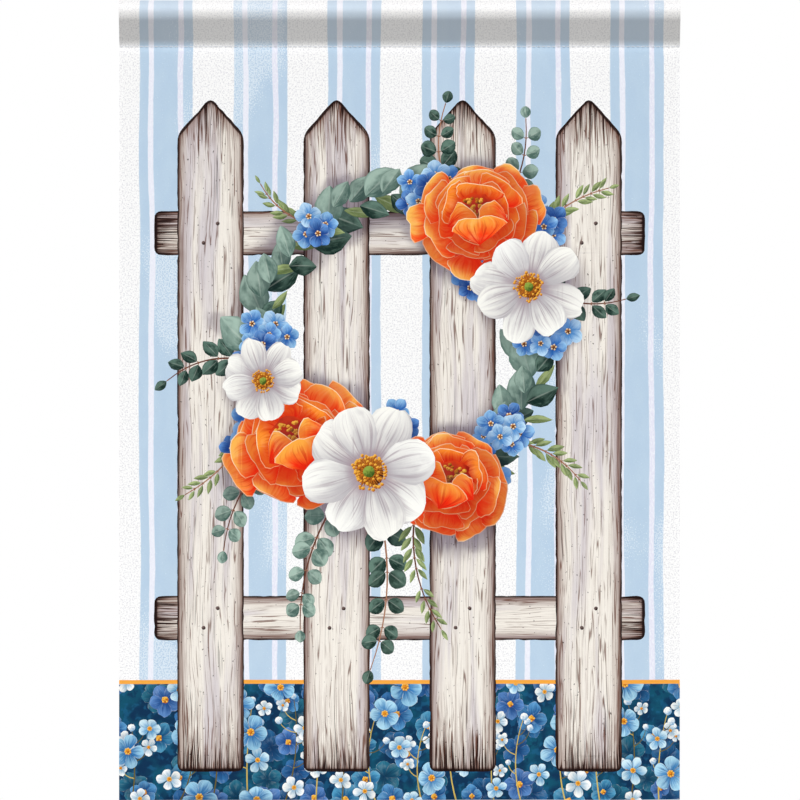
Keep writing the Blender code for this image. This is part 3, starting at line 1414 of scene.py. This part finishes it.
@dataclass(frozen=True)
class Meadow:
    """Band of small blue flowers, buds and golden stems along the foot of the flag.

    The flowers are counted in three layers, from the dim ones at the back to the pale ones in front. The
    shadow under a front flower is measured in shares of its radius, and the others in millimetres.
    """

    top: float = -386.2
    foot: float = FOOT
    half_width: float = HALF_WIDTH
    stems: int = 16
    stem_reach: float = 150.0
    flowers: tuple[int, int, int] = (52, 42, 46)
    back_sizes: Span = (8, 11)
    middle_sizes: Span = (7, 10.5)
    large_sizes: Span = (9.2, 11.2)
    small_sizes: Span = (6, 8.2)
    twig_knots: tuple[int, ...] = (3, 5, 6, 7)
    twig_sizes: Span = (4.2, 6)
    twig_reaches: Span = (7, 13)
    twig_turns: Span = (0.4, 1.0)
    stem_breadth: float = 0.85
    twig_breadth: float = 0.6
    under_twig: Soft = Soft(3.0, 2.6, 0.5)
    under_middle: Soft = Soft(5.0, 5.0, 0.4)
    under_front: Soft = Soft(0.66, 0.5, 0.62)
    seed: int = 77
    dim: Cut = Cut(1.35, 0.7, 0.06, 6)
    twig: Cut = Cut(1.75, 0.6, 0.06, 7)
    slender: Cut = Cut(1.75, 0.6, 0.06, 9)

    def spots(self, rnd: Random, count: int, margin: float) -> list[Point]:
        """Evenly loose places over the band, and a margin outside it."""
        half, foot, top = self.half_width + margin, self.foot - margin, self.top + margin
        return scatter(count, 14, lambda: complex(rnd.uniform(-half, half), rnd.uniform(foot, top)))

    def stem(self, layout: Layout, index: int) -> None:
        """Print a stem with four twigs, each with a bud or a small flower.

        Args:
            layout: The print.
            index: The stem's number from the left.
        """
        rnd = layout.rnd
        x = 2 * self.stem_reach * (index + rnd.uniform(-0.25, 0.25)) / (self.stems - 1) - self.stem_reach
        crest = complex(x + rnd.uniform(-9, 9), rnd.uniform(self.top - 34, self.top - 8))
        path = bow(complex(x, self.foot - 2), crest, rnd.uniform(-0.12, 0.12))
        layout.stem(path, self.stem_breadth, Palette.MEADOW_STEM)
        for knot in self.twig_knots:
            side = rnd.choice((-1, 1))
            reach = rnd.uniform(*self.twig_reaches)
            twig = path[knot] + rect(reach, math.pi / 2 + side * rnd.uniform(*self.twig_turns))
            layout.stem(bow(path[knot], twig, side * 0.15, 4), self.twig_breadth, Palette.MEADOW_STEM)
            if rnd.random() < 0.5:
                layout.dab(twig, rnd.uniform(1.6, 2.3), Palette.BUD, 9)
                continue
            layout.cast(twig, self.under_twig)
            size, squash = rnd.uniform(*self.twig_sizes), rnd.uniform(0.7, 1)
            shape = {"squash": squash, "stamens": 4, "breadth": 0.36, "cut": self.twig}
            Blossom(twig, size, Palette.PALE[1], Palette.AMBER, **shape).draw(layout)
        layout.dab(crest, rnd.uniform(1.7, 2.4), Palette.BUD, 9)

    def draw(self, layout: Layout) -> None:
        """Print the band's flowers and stems, from the back to the front.

        Args:
            layout: The print.
        """
        rnd = layout.rnd = Random(self.seed)
        back, middle, front = self.flowers
        for index, spot in enumerate(self.spots(rnd, back, 4)):
            size, squash = rnd.uniform(*self.back_sizes), rnd.uniform(0.7, 1)
            Blossom(spot, size, Palette.DIM[index % 3], squash=squash, stamens=0, cut=self.dim).draw(layout)
        for index, spot in enumerate(self.spots(rnd, middle, 2)):
            layout.cast(spot, self.under_middle)
            size, squash = rnd.uniform(*self.middle_sizes), rnd.uniform(0.75, 1)
            brush = Palette.MIDDLE[index % 3]
            Blossom(spot, size, brush, Palette.STAMEN, squash=squash, stamens=4).draw(layout)
        for index in range(self.stems):
            self.stem(layout, index)
        for index, spot in enumerate(self.spots(rnd, front, 1)):
            big = index % 3 == 0
            radius = rnd.uniform(*(self.large_sizes if big else self.small_sizes))
            layout.cast(spot, self.under_front, radius)
            brush, breadth = (Palette.LARGE[index % 2], 0.40) if big else (Palette.PALE[index % 3], 0.36)
            shape = {"squash": rnd.uniform(0.76, 1), "stamens": 7, "breadth": breadth, "cut": self.slender}
            Blossom(spot, radius, brush, Palette.AMBER, **shape).draw(layout)


# ---------------------------------------------------------------------------------------------------- cloth


def distance(spots: np.ndarray, start: Point, end: Point) -> np.ndarray:
    """Distance from places on the print to the straight line between two points.

    Args:
        spots: The places.
        start: The line's start.
        end: Its end.

    Returns:
        The distances.
    """
    way = end - start
    share = np.clip(((spots - start) * way.conjugate()).real / max(abs(way) ** 2, 1e-12), 0, 1)
    return np.abs(spots - start - share * way)


def triangulate(spots: list[Point], edges: list[tuple[int, int]], faces: list[list[int]]) -> list:
    """Cut the print's plane along edges and outlines, as mathutils returns it."""
    return delaunay_2d_cdt([Vector((p.real, p.imag)) for p in spots], edges, faces, 0, MERGE, True)


def sides(triangles: np.ndarray) -> np.ndarray:
    """The three sides of every triangle: all the first ones, then the second and the third."""
    return np.concatenate([triangles[:, [0, 1]], triangles[:, [1, 2]], triangles[:, [2, 0]]])


@dataclass(frozen=True)
class Flute:
    """One soft trough or ridge down the panel."""

    across: float
    lean: float
    spread: float
    depth: float


@dataclass
class HungCloth:
    """The sheet: its cut, its way over the rod sleeve, its flutes, and the print on it."""

    width: float = 2 * CAD_BOUNDS[1][0]
    height: float = -CAD_BOUNDS[0][2]
    thickness: float = 0.00036
    radius: float = SLEEVE_BOX[1][1]
    seam_drop: float = 0.0262
    seam_gap: float = 0.00042
    panel_gap: float = 0.00095
    settling: float = 0.004
    tail: float = 0.0078
    tail_lean: float = 0.0007
    step: float = 0.00025
    rounding: float = 0.0009
    pucker: float = 0.00005
    pucker_waves: tuple[Span, ...] = ((0.0113, 0.4), (0.0179, 2.1), (0.0287, 4.0))
    flutes: tuple[Flute, ...] = (
        Flute(-0.157, -0.010, 0.030, 0.0024),
        Flute(-0.092, -0.006, 0.033, -0.0019),
        Flute(-0.022, 0.004, 0.037, 0.0017),
        Flute(0.054, 0.003, 0.034, -0.0016),
        Flute(0.112, 0.008, 0.026, 0.0012),
        Flute(0.158, 0.012, 0.024, -0.0022),
    )
    flute_growth: float = 1.3
    pucker_reach: Span = (0.007, 0.002)
    grid: tuple[int, int] = (56, 76)
    grid_stray: float = 0.7
    grid_margin: float = 0.8
    grid_seed: int = 3
    row_points: int = 72
    rows_near_seam: tuple[float, ...] = (-0.001, -0.0004, 0.0, 0.0004, 0.001, 0.003)
    rows_below: tuple[float, ...] = (-0.004, -0.0022)
    row_above: float = -0.003
    sleeve_rows: int = 34
    sleeve_margin: float = 0.006
    shade_spacing: float = 2.3
    shade_across: Span = (-150.0, 150.0)
    shade_up: Span = (-440.0, -40.0)
    front_strip: Span = (0.005, 0.68)
    back_strip: Span = (0.995, -0.285)
    rim_strip: Span = (0.690, 0.004)
    map_height: Span = (0.005, 0.985)
    flat: np.ndarray = field(init=False)
    path: np.ndarray = field(init=False)
    seams: Span = field(init=False)

    def __post_init__(self) -> None:
        """Lay out the sheet's way in side view, with a point for each small step along the cloth.

        The real part of a point is its depth, and the imaginary part its height.
        """
        rise = self.seam_drop - self.radius
        slope = math.asin(self.radius / math.hypot(self.seam_gap, rise)) - math.atan2(self.seam_gap, rise)
        drop = self.height - self.seam_drop
        share = np.linspace(0, 1, 200, endpoint=False)
        settled = 1 - np.exp(-drop * (1 - share) / self.settling)
        gap = self.seam_gap + (self.panel_gap - self.seam_gap) * settled
        front = -gap + 1j * (drop * share - self.height)
        turn = math.pi + slope - (math.pi + 2 * slope) * np.linspace(0, 1, 90)
        sleeve = self.radius * (np.exp(1j * turn) - 1j)
        seam = -1j * self.seam_drop
        end = seam + self.seam_gap + self.tail_lean - 1j * self.tail
        rough = np.concatenate([front, [seam - self.seam_gap], sleeve, [seam + self.seam_gap, end]])
        lengths = np.concatenate([[0], np.cumsum(np.abs(np.diff(rough)))])
        self.seams = (lengths[len(front)], lengths[-2])
        self.flat = np.linspace(0, lengths[-1], round(lengths[-1] / self.step) + 1)
        even = np.interp(self.flat, lengths, rough)
        weights = np.exp(-0.5 * (np.arange(-12, 13) * self.step / self.rounding) ** 2)
        padded = np.concatenate([2 * even[0] - even[12:0:-1], even, 2 * even[-1] - even[-2:-14:-1]])
        self.path = np.convolve(padded, weights / weights.sum(), "valid")

    @property
    def length(self) -> float:
        """Length of the cut cloth, from the foot to the end of the tail."""
        return float(self.flat[-1])

    def hang(self, x: np.ndarray, flat: np.ndarray) -> tuple[np.ndarray, np.ndarray]:
        """Place points of the cut cloth.

        Args:
            x: Distances across the cloth.
            flat: Distances up the cloth from its foot.

        Returns:
            The printed face's points, and the outward normals of its side view.
        """
        place = np.interp(flat, self.flat, self.path)
        run = np.interp(flat, self.flat, np.gradient(self.path, self.flat))
        fall = np.clip((self.seams[0] - flat) / self.seams[0], 0, None)
        depth = np.zeros_like(x)
        for flute in self.flutes:
            middle = flute.across - flute.lean * (1 - fall)
            depth += flute.depth * np.exp(-(((x - middle) / flute.spread) ** 2))
        y = place.real - depth * fall**self.flute_growth
        pucker = 3 + sum(np.sin(TURN * x / wave + start) for wave, start in self.pucker_waves)
        outer, inner = self.pucker_reach
        for seam, sign in zip(self.seams, (-1, 1), strict=True):
            near = np.abs(flat - seam)
            drawn = np.exp(-((near / outer) ** 2)) * (1 - np.exp(-((near / inner) ** 2)))
            y = y + sign * self.pucker * pucker * drawn
        normals = np.stack([np.zeros_like(x), -run.imag, run.real], axis=1)
        normals /= np.linalg.norm(normals, axis=1, keepdims=True)
        return np.stack([x, y, place.imag], axis=1), normals

    def facing(self, x: np.ndarray, flat: np.ndarray, reach: float = 0.0004) -> np.ndarray:
        """Way that the printed face looks, flutes and puckers included.

        Args:
            x: Distances across the cloth.
            flat: Distances up the cloth from its foot.
            reach: Distance to the places that are compared.

        Returns:
            Unit vectors.
        """
        across = self.hang(x + reach, flat)[0] - self.hang(x - reach, flat)[0]
        up = self.hang(x, flat + reach)[0] - self.hang(x, flat - reach)[0]
        ways = np.cross(across, up)
        return ways / np.linalg.norm(ways, axis=1, keepdims=True)

    def guides(self) -> tuple[list[Point], list[list[Point]]]:
        """Points and rows that let the sheet bend.

        Returns:
            A loose grid on the panel, and the close rows of the sleeve and its seams, kept as edges.
        """
        half = self.width / 2 / MILLIMETRE
        low, high = self.seams
        top = (low + self.rows_below[0]) / MILLIMETRE
        columns, lines = self.grid
        rnd, stray = Random(self.grid_seed), self.grid_stray
        points = []
        for row in range(1, lines):
            for column in range(columns):
                shift = column + 0.5 + row % 2 / 2
                x = -half + shift * 2 * half / columns + rnd.uniform(-stray, stray)
                z = row * top / lines + rnd.uniform(-stray, stray)
                if abs(x) < half - self.grid_margin:
                    points.append(complex(x, z + FOOT))
        marks = [low + offset for offset in (*self.rows_below, *self.rows_near_seam)]
        marks += list(np.linspace(low + self.sleeve_margin, high - self.sleeve_margin, self.sleeve_rows))
        marks += [high + offset for offset in (self.row_above, *self.rows_near_seam)]
        across = np.linspace(-half, half, self.row_points)
        return points, [[complex(x, mark / MILLIMETRE + FOOT) for x in across] for mark in marks]

    def cut(self, layout: Layout) -> tuple[np.ndarray, np.ndarray, np.ndarray]:
        """Cut the print's shapes into one mesh of triangles.

        The first cut takes every outline whole. The second keeps only the lines that show between two shapes.

        Args:
            layout: The print.

        Returns:
            Flat points, triangles, and the number of the shape that shows on each triangle.
        """
        points: list[Point] = []
        faces: list[list[int]] = []
        for region in layout.regions:
            faces.append(list(range(len(points), len(points) + len(region.outline))))
            points.extend(region.outline)
        spots, _, found, drawn, _, owners = triangulate(points, [], faces)
        kept = [(face, max(ids)) for face, ids in zip(found, owners, strict=True) if ids and min(ids) == 0]
        triangles = np.array([face for face, _ in kept])
        shown = np.array([shape for _, shape in kept])
        lines = self.showing_lines(triangles, shown, [bool(ids) for ids in drawn])
        used = sorted({end for line in lines for end in line})
        number = {old: new for new, old in enumerate(used)}
        points = [complex(*spots[old]) for old in used]
        edges = [(number[a], number[b]) for a, b in lines]
        loose, rows = self.guides()
        for path, closed in [(row, False) for row in rows] + [(ring, True) for ring in layout.creases]:
            first, count = len(points), len(path)
            edges += [(first + i, first + (i + 1) % count) for i in range(count if closed else count - 1)]
            points += path
        final = triangulate(points + loose + self.shade_points(layout), edges, [])
        flat = np.array([complex(*spot) for spot in final[0]])
        pieces = np.array([face for face in final[2] if len(face) == 3])
        finder = BVHTree.FromPolygons([(*spot, 0.0) for spot in spots], triangles.tolist())
        hits = [finder.find_nearest((p.real, p.imag, 0.0))[2] for p in flat[pieces].mean(axis=1).tolist()]
        return flat, pieces, shown[hits]

    def shade_points(self, layout: Layout) -> list[Point]:
        """Close points in staggered rows wherever a soft shade falls.

        Args:
            layout: The print.

        Returns:
            The points.
        """
        spacing = self.shade_spacing
        columns = np.arange(*self.shade_across, spacing)
        rows = enumerate(np.arange(*self.shade_up, spacing * 0.87))
        grid = np.concatenate([columns + spacing / 2 * (number % 2) + z * 1j for number, z in rows])
        near = np.zeros(len(grid), bool)
        for cast in layout.shades:
            away = distance(grid, cast.start, cast.end)
            fading = (away < cast.radius + cast.reach) & (away > cast.radius - spacing)
            near |= fading & (cast.reach > spacing)
        return grid[near].tolist()

    @staticmethod
    def showing_lines(triangles: np.ndarray, shown: np.ndarray, drawn: list[bool]) -> list[tuple[int, int]]:
        """Edges where the shape that shows changes, without the points that hidden lines leave on them.

        Args:
            triangles: The first cut's triangles.
            shown: The shape on each.
            drawn: Whether each point belongs to an outline.

        Returns:
            The edges.
        """
        pairs, shapes = np.sort(sides(triangles), axis=1), np.tile(shown, 3)
        order = np.lexsort((pairs[:, 1], pairs[:, 0]))
        pairs, shapes = pairs[order], shapes[order]
        twin = np.all(pairs[1:] == pairs[:-1], axis=1)
        same = twin & (shapes[1:] == shapes[:-1])
        hidden = np.append(same, False) | np.insert(same, 0, False)
        beside: dict[int, set[int]] = {}
        for a, b in pairs[~hidden & ~np.insert(twin, 0, False)].tolist():
            beside.setdefault(a, set()).add(b)
            beside.setdefault(b, set()).add(a)
        for spot in [spot for spot, ends in beside.items() if len(ends) == 2 and not drawn[spot]]:
            a, b = beside[spot]
            if b in beside[a]:
                continue
            del beside[spot]
            for near, far in ((a, b), (b, a)):
                beside[near].remove(spot)
                beside[near].add(far)
        return [(a, b) for a, ends in beside.items() for b in ends if a < b]

    def build(self, layout: Layout) -> Object:
        """Make the sheet.

        Args:
            layout: The print.

        Returns:
            The cloth's object, dressed.
        """
        flat, triangles, shown = self.cut(layout)
        used, triangles = np.unique(triangles, return_inverse=True)
        flat, triangles = flat[used], triangles.reshape(-1, 3)
        count = len(flat)
        x, height = flat.real * MILLIMETRE, (flat.imag - FOOT) * MILLIMETRE
        front, normals = self.hang(x, height)
        pairs = sides(triangles)
        keys = np.sort(pairs, axis=1) @ np.array([count, 1])
        _, first, times = np.unique(keys, return_index=True, return_counts=True)
        lone = first[times == 1]
        a, b = pairs[lone].T
        rim = [np.stack(corners, axis=1) for corners in ((b, a, a + count), (b, a + count, b + count))]
        faces = np.concatenate([triangles, triangles[:, ::-1] + count, *rim])
        points = np.concatenate([front, front - normals * self.thickness])
        mesh = bpy.data.meshes.new("flag_cloth")
        mesh.from_pydata(points.tolist(), [], faces.tolist())
        edging = shown[lone % len(triangles)]
        shapes = np.concatenate([shown, shown, edging, edging])
        Dressing(layout, shapes, flat[faces % count]).apply(mesh)
        self.smooth(mesh, faces, self.facing(x, height), len(triangles))
        self.lay_map(mesh, faces, flat, len(triangles))
        return in_scene("flag_cloth", mesh)

    @staticmethod
    def smooth(mesh: bpy.types.Mesh, faces: np.ndarray, ways: np.ndarray, fronts: int) -> None:
        """Shade the sheet smooth, with a crisp rim.

        Args:
            mesh: The cloth's mesh.
            faces: Its triangles.
            ways: Way that the printed face looks at each of its points.
            fronts: Number of faces on the printed face.
        """
        rim = np.zeros(len(faces) * 3)
        mesh.polygons.foreach_get("normal", rim)
        rim = np.repeat(rim.reshape(-1, 1, 3)[2 * fronts :], 3, axis=1)
        printed, reverse = ways[faces[:fronts]], -ways[faces[fronts : 2 * fronts] - len(ways)]
        mesh.shade_smooth()
        mesh.normals_split_custom_set(np.concatenate([printed, reverse, rim]).reshape(-1, 3).tolist())

    def lay_map(self, mesh: bpy.types.Mesh, faces: np.ndarray, flat: np.ndarray, fronts: int) -> None:
        """Mark the reverse side, and lay the two sides out next to each other on the map.

        Args:
            mesh: The cloth's mesh.
            faces: Its triangles.
            flat: Flat points of the printed face.
            fronts: Number of faces on the printed face.
        """
        behind = np.zeros(len(faces), np.float32)
        behind[fronts : 2 * fronts] = 1.0
        mesh.attributes.new("reverse", "FLOAT", "FACE").data.foreach_set("value", behind)
        spots = flat[faces % len(flat)] * MILLIMETRE
        across = spots.real / self.width + 0.5
        up = (spots.imag + self.height) / self.length
        front, back = (start + span * across for start, span in (self.front_strip, self.back_strip))
        u = np.where(behind[:, None] > 0, back, front)
        start, span = self.rim_strip
        u[2 * fronts :] = start + span * (faces[2 * fronts :] >= len(flat)) + span * across[2 * fronts :]
        foot, rise = self.map_height
        mapped = mesh.uv_layers.new(name="OFBake")
        mapped.data.foreach_set("uv", np.stack([u, foot + rise * up], axis=2).astype(np.float32).ravel())


@dataclass
class Dressing:
    """Gives each corner of the cloth its place on its printed shape, its colours and its style."""

    layout: Layout
    shapes: np.ndarray
    corners: np.ndarray
    margin: float = 6.0

    def table(self, read: Callable[[Region], object]) -> np.ndarray:
        """One value of every shape, for each face's three corners."""
        values = np.array([read(region) for region in self.layout.regions])[self.shapes]
        return np.repeat(values[:, None], 3, axis=1)

    def shade(self) -> np.ndarray:
        """How dark each corner lies in the shadow of what is printed over it.

        Returns:
            The shares, from 0 to 1.
        """
        dark = np.zeros(self.corners.shape)
        middles = self.corners.mean(axis=1)
        for cast in self.layout.shades:
            gap, half = middles - (cast.start + cast.end) / 2, (cast.end - cast.start) / 2
            far = cast.radius + cast.reach + self.margin
            near = (np.abs(gap.real) < abs(half.real) + far) & (np.abs(gap.imag) < abs(half.imag) + far)
            under = np.flatnonzero(near & (self.shapes < cast.below))
            away = distance(self.corners[under], cast.start, cast.end)
            amount = np.clip(1 - (away - cast.radius) / cast.reach, 0, 1)
            dark[under] = 1 - (1 - dark[under]) * (1 - amount * amount * (3 - 2 * amount) * cast.strength)
        return dark

    def apply(self, mesh: bpy.types.Mesh) -> None:
        """Write the attributes and the material slots.

        Args:
            mesh: The cloth's mesh.
        """
        heading = self.table(lambda region: region.heading)
        step = (self.corners - self.table(lambda region: region.base)) * np.exp(-1j * heading)
        along = step.real / self.table(lambda region: region.length)
        across = step.imag / self.table(lambda region: region.half_width)
        across -= self.table(lambda region: region.bend) * along**2
        vein = self.table(lambda region: region.brush.vein)
        rim = self.table(lambda region: region.brush.rim)
        for number, region in enumerate(self.layout.regions):
            if region.paint is Paint.BOARD:
                mine = self.shapes == number
                ring = region.outline
                edges = zip(ring, ring[1:] + ring[:1], strict=True)
                gaps = [distance(self.corners[mine], *ends) for ends in edges]
                vein[mine] = np.minimum(np.min(gaps, axis=0), Fence.insets[-1])
                reach = max(abs(point - region.base) for point in ring)
                rim[mine] = np.minimum(along[mine], reach - along[mine])
        values = {
            "place": np.stack([along, across, self.table(lambda region: region.seed)], axis=2),
            "style": np.stack([vein, rim, self.shade()], axis=2),
            "form": self.table(lambda region: region.form),
            "deep": self.table(lambda region: (*region.brush.deep, 1.0)),
            "light": self.table(lambda region: (*region.brush.light, 1.0)),
        }
        for name, array in values.items():
            coloured = name in ("deep", "light")
            kind, value = ("FLOAT_COLOR", "color") if coloured else ("FLOAT_VECTOR", "vector")
            made = mesh.attributes.new(name, kind, "CORNER")
            made.data.foreach_set(value, array.astype(np.float32).ravel())
        for paint in Paint:
            mesh.materials.append(paint.value[1].dress(paint.value[0]))
        slots = [list(Paint).index(region.paint) for region in self.layout.regions]
        mesh.polygons.foreach_set("material_index", np.array(slots, np.int32)[self.shapes])


@dataclass
class SeamStitching:
    """Rows of lock stitches through the foot of the sleeve, one on each face of the cloth.

    The rows' own lift off the cloth is a share of the thread's radius.
    """

    cloth: HungCloth
    pitch: float = 0.0028
    stitch: float = 0.0021
    thread_radius: float = 0.00016
    rise: float = 0.00022
    lift: float = 0.00012
    inset: float = 0.0012
    rows_lift: float = 0.2
    row_points: int = 241
    bow_steps: int = 6
    thread_sides: int = 8
    lean: float = 0.05
    seed: int = 5
    finish: ThreadFinish = ThreadFinish()

    def rows(self) -> Object:
        """Lines along both faces of the seam, on the cloth's surface.

        Returns:
            The lines' object.
        """
        mesh = bpy.data.meshes.new("seam_rows")
        half = self.cloth.width / 2 - self.inset
        x = np.linspace(-half, half, self.row_points)
        points, edges = [], []
        for seam in self.cloth.seams:
            places, normals = self.cloth.hang(x, np.full_like(x, seam))
            edges += [(len(points) + i, len(points) + i + 1) for i in range(len(x) - 1)]
            points += (places + normals * self.thread_radius * self.rows_lift).tolist()
        mesh.from_pydata(points, edges, [])
        return in_scene("seam_rows", mesh)

    def tree(self) -> bpy.types.NodeTree:
        """Geometry that lays a small bowed stitch at each pitch of its lines.

        Returns:
            The node tree.
        """
        tree = bpy.data.node_groups.new("lay_stitches", "GeometryNodeTree")
        kinds = {"Rows": "Geometry", "Seed": "Int", "Thread": "Material"}
        for name in ("Rows", "Pitch", "Stitch", "Thread Radius", "Rise", "Lift", "Lean", "Seed", "Thread"):
            kind = "NodeSocket" + kinds.get(name, "Float")
            tree.interface.new_socket(name, in_out="INPUT", socket_type=kind)
        tree.interface.new_socket("Stitches", in_out="OUTPUT", socket_type="NodeSocketGeometry")
        kit = NodeTree(tree)
        given = kit.node("NodeGroupInput", {})
        stitch, rise, lean = (Number(kit, given[name]) for name in ("Stitch", "Rise", "Lean"))
        half, lift = stitch * 0.5, given["Lift"]
        line = kit.node("GeometryNodeMeshToCurve", {0: given["Rows"]})[0]
        spacing = {"Curve": line, "Length": given["Pitch"]}
        spaced = kit.node("GeometryNodeCurveToPoints", spacing, mode="LENGTH")[0]
        bowed = {
            "Resolution": self.bow_steps,
            "Start": kit.vector(0 - half, lift, 0.0),
            "Middle": kit.vector(0.0, rise * -2.0, 0.0),
            "End": kit.vector(half, lift, 0.0),
        }
        path = kit.node("GeometryNodeCurveQuadraticBezier", bowed)[0]
        round_wire = {"Resolution": self.thread_sides, "Radius": given["Thread Radius"]}
        wire = kit.node("GeometryNodeCurvePrimitiveCircle", round_wire)[0]
        swept = {"Curve": path, "Profile Curve": wire, "Fill Caps": True}
        thread = kit.node("GeometryNodeCurveToMesh", swept)[0]
        behind = kit.math("GREATER_THAN", kit.parts(kit.node("GeometryNodeInputPosition", {})[0])[1], 0.0)
        chance = {2: 0 - lean, 3: lean, 8: given["Seed"]}
        leant = kit.node("FunctionNodeRandomValue", chance, data_type="FLOAT")[1]
        turned = kit.vector(behind * math.pi, leant, 0.0)
        placed = {
            "Points": spaced,
            "Instance": thread,
            "Rotation": kit.node("FunctionNodeEulerToRotation", {0: turned})[0],
        }
        laid = kit.node("GeometryNodeInstanceOnPoints", placed)[0]
        real = kit.node("GeometryNodeRealizeInstances", {0: laid})[0]
        dressed = kit.node("GeometryNodeSetMaterial", {"Geometry": real, "Material": given["Thread"]})[0]
        kit.node("NodeGroupOutput", {0: dressed})
        return tree

    def build(self) -> Object:
        """Lay the stitches.

        Returns:
            The stitches' object, dressed.
        """
        rows = self.rows()
        modifier = rows.modifiers.new("stitches", "NODES")
        modifier.node_group = self.tree()
        values = {
            "Pitch": self.pitch,
            "Stitch": self.stitch,
            "Thread Radius": self.thread_radius,
            "Rise": self.rise,
            "Lift": self.lift,
            "Lean": self.lean,
            "Seed": self.seed,
            "Thread": self.finish.dress("sewing_thread"),
        }
        for item in modifier.node_group.interface.items_tree:
            if item.name in values:
                modifier[item.identifier] = values[item.name]
        mesh = bpy.data.meshes.new_from_object(rows.evaluated_get(bpy.context.evaluated_depsgraph_get()))
        mesh.name = "seam_stitching"
        mesh.shade_smooth()
        rows.modifiers.remove(modifier)
        bpy.data.objects.remove(rows)
        return in_scene("seam_stitching", mesh)


@dataclass(frozen=True)
class Studio:
    """Plain pale floor, soft light from above, and a level view of the printed front.

    Each light has its elevation and its turn in degrees, and its strength.
    """

    eye: Triple = (0.0002, -2.518, -0.2265)
    lens: float = 200.0
    floor_height: float = -1.15
    floor_half: float = 2.5
    key_light: Triple = (58.0, -12.0, 3.85)
    back_light: Triple = (22.0, 160.0, 1.75)
    softness: float = math.radians(24.0)
    sky: float = 0.12
    floor_colours: tuple[Colour, Colour] = (display(222, 222, 220), display(206, 206, 202))

    def build(self) -> None:
        """Make the camera, the lights, the room and the floor."""
        camera = in_scene("camera", bpy.data.cameras.new("camera"))
        camera.data.lens = self.lens
        camera.location = self.eye
        camera.rotation_euler = (math.pi / 2, 0.0, 0.0)
        bpy.context.scene.camera = camera
        bpy.context.scene.view_settings.view_transform = "Standard"
        for name in ("key_light", "back_light"):
            elevation, turn, strength = getattr(self, name)
            light = in_scene(name, bpy.data.lights.new(name, "SUN"))
            light.data.energy = strength
            light.data.angle = self.softness
            light.rotation_euler = (math.radians(90 - elevation), 0.0, math.radians(turn))
        self.surround()
        self.floor()

    def surround(self) -> None:
        """Light the scene evenly from a white room, which is brighter to the camera than to the cloth."""
        world = bpy.data.worlds.new("white_room")
        world.use_nodes = True
        world.node_tree.nodes.clear()
        bpy.context.scene.world = world
        room = NodeTree(world.node_tree)
        seen = Number(room, room.node("ShaderNodeLightPath", {})["Is Camera Ray"])
        white = {"Color": (1.0, 1.0, 1.0), "Strength": seen * (1 - self.sky) + self.sky}
        room.node("ShaderNodeOutputWorld", {"Surface": room.node("ShaderNodeBackground", white)[0]})

    def floor(self) -> None:
        """Lay the floor below the flag."""
        half, low = self.floor_half, self.floor_height
        corners = [(-half, -half, low), (half, -half, low), (half, half, low), (-half, half, low)]
        mesh = bpy.data.meshes.new("studio_floor")
        mesh.from_pydata(corners, [], [(0, 1, 2, 3)])
        paint = PaintTree("studio_floor")
        x, y, _ = paint.parts(paint.node("ShaderNodeTexCoord", {})["Object"])
        cloudy = paint.noise(x * 3, y * 3, 0.0, 3.0)
        colour = paint.mix(cloudy * 0.06, *self.floor_colours)
        mesh.materials.append(paint.close({"Base Color": colour, "Roughness": 0.8}))
        in_scene("studio_floor", mesh)


def hand_in(piece: Object) -> None:
    """Let a finished piece ride with the flag, and log its size.

    Args:
        piece: The finished piece.
    """
    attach(piece, BODY)
    piece.data.calc_loop_triangles()
    LOG.info("%s: %d triangles", piece.name, len(piece.data.loop_triangles))


def main() -> None:
    """Build the flag and its studio, and let every piece ride with the flag's root body."""
    logging.basicConfig(level=logging.INFO, format="%(message)s")
    Studio().build()
    hung = HungCloth()
    crest = complex(HALF_WIDTH, hung.length / MILLIMETRE + FOOT)
    layout = Layout()
    layout.sheet(complex(-HALF_WIDTH, FOOT), crest, Paint.MEADOW)
    Meadow().draw(layout)
    layout.sheet(complex(-HALF_WIDTH, StripePaint.line_foot), crest, Paint.STRIPES)
    Fence().draw(layout)
    Wreath().draw(layout)
    LOG.info("print: %d shapes, %d soft shades", len(layout.regions), len(layout.shades))
    cloth = hung.build(layout)
    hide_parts("flag_panel", "rod_sleeve")
    hand_in(cloth)
    hand_in(SeamStitching(hung).build())


if __name__ == "__main__":
    main()
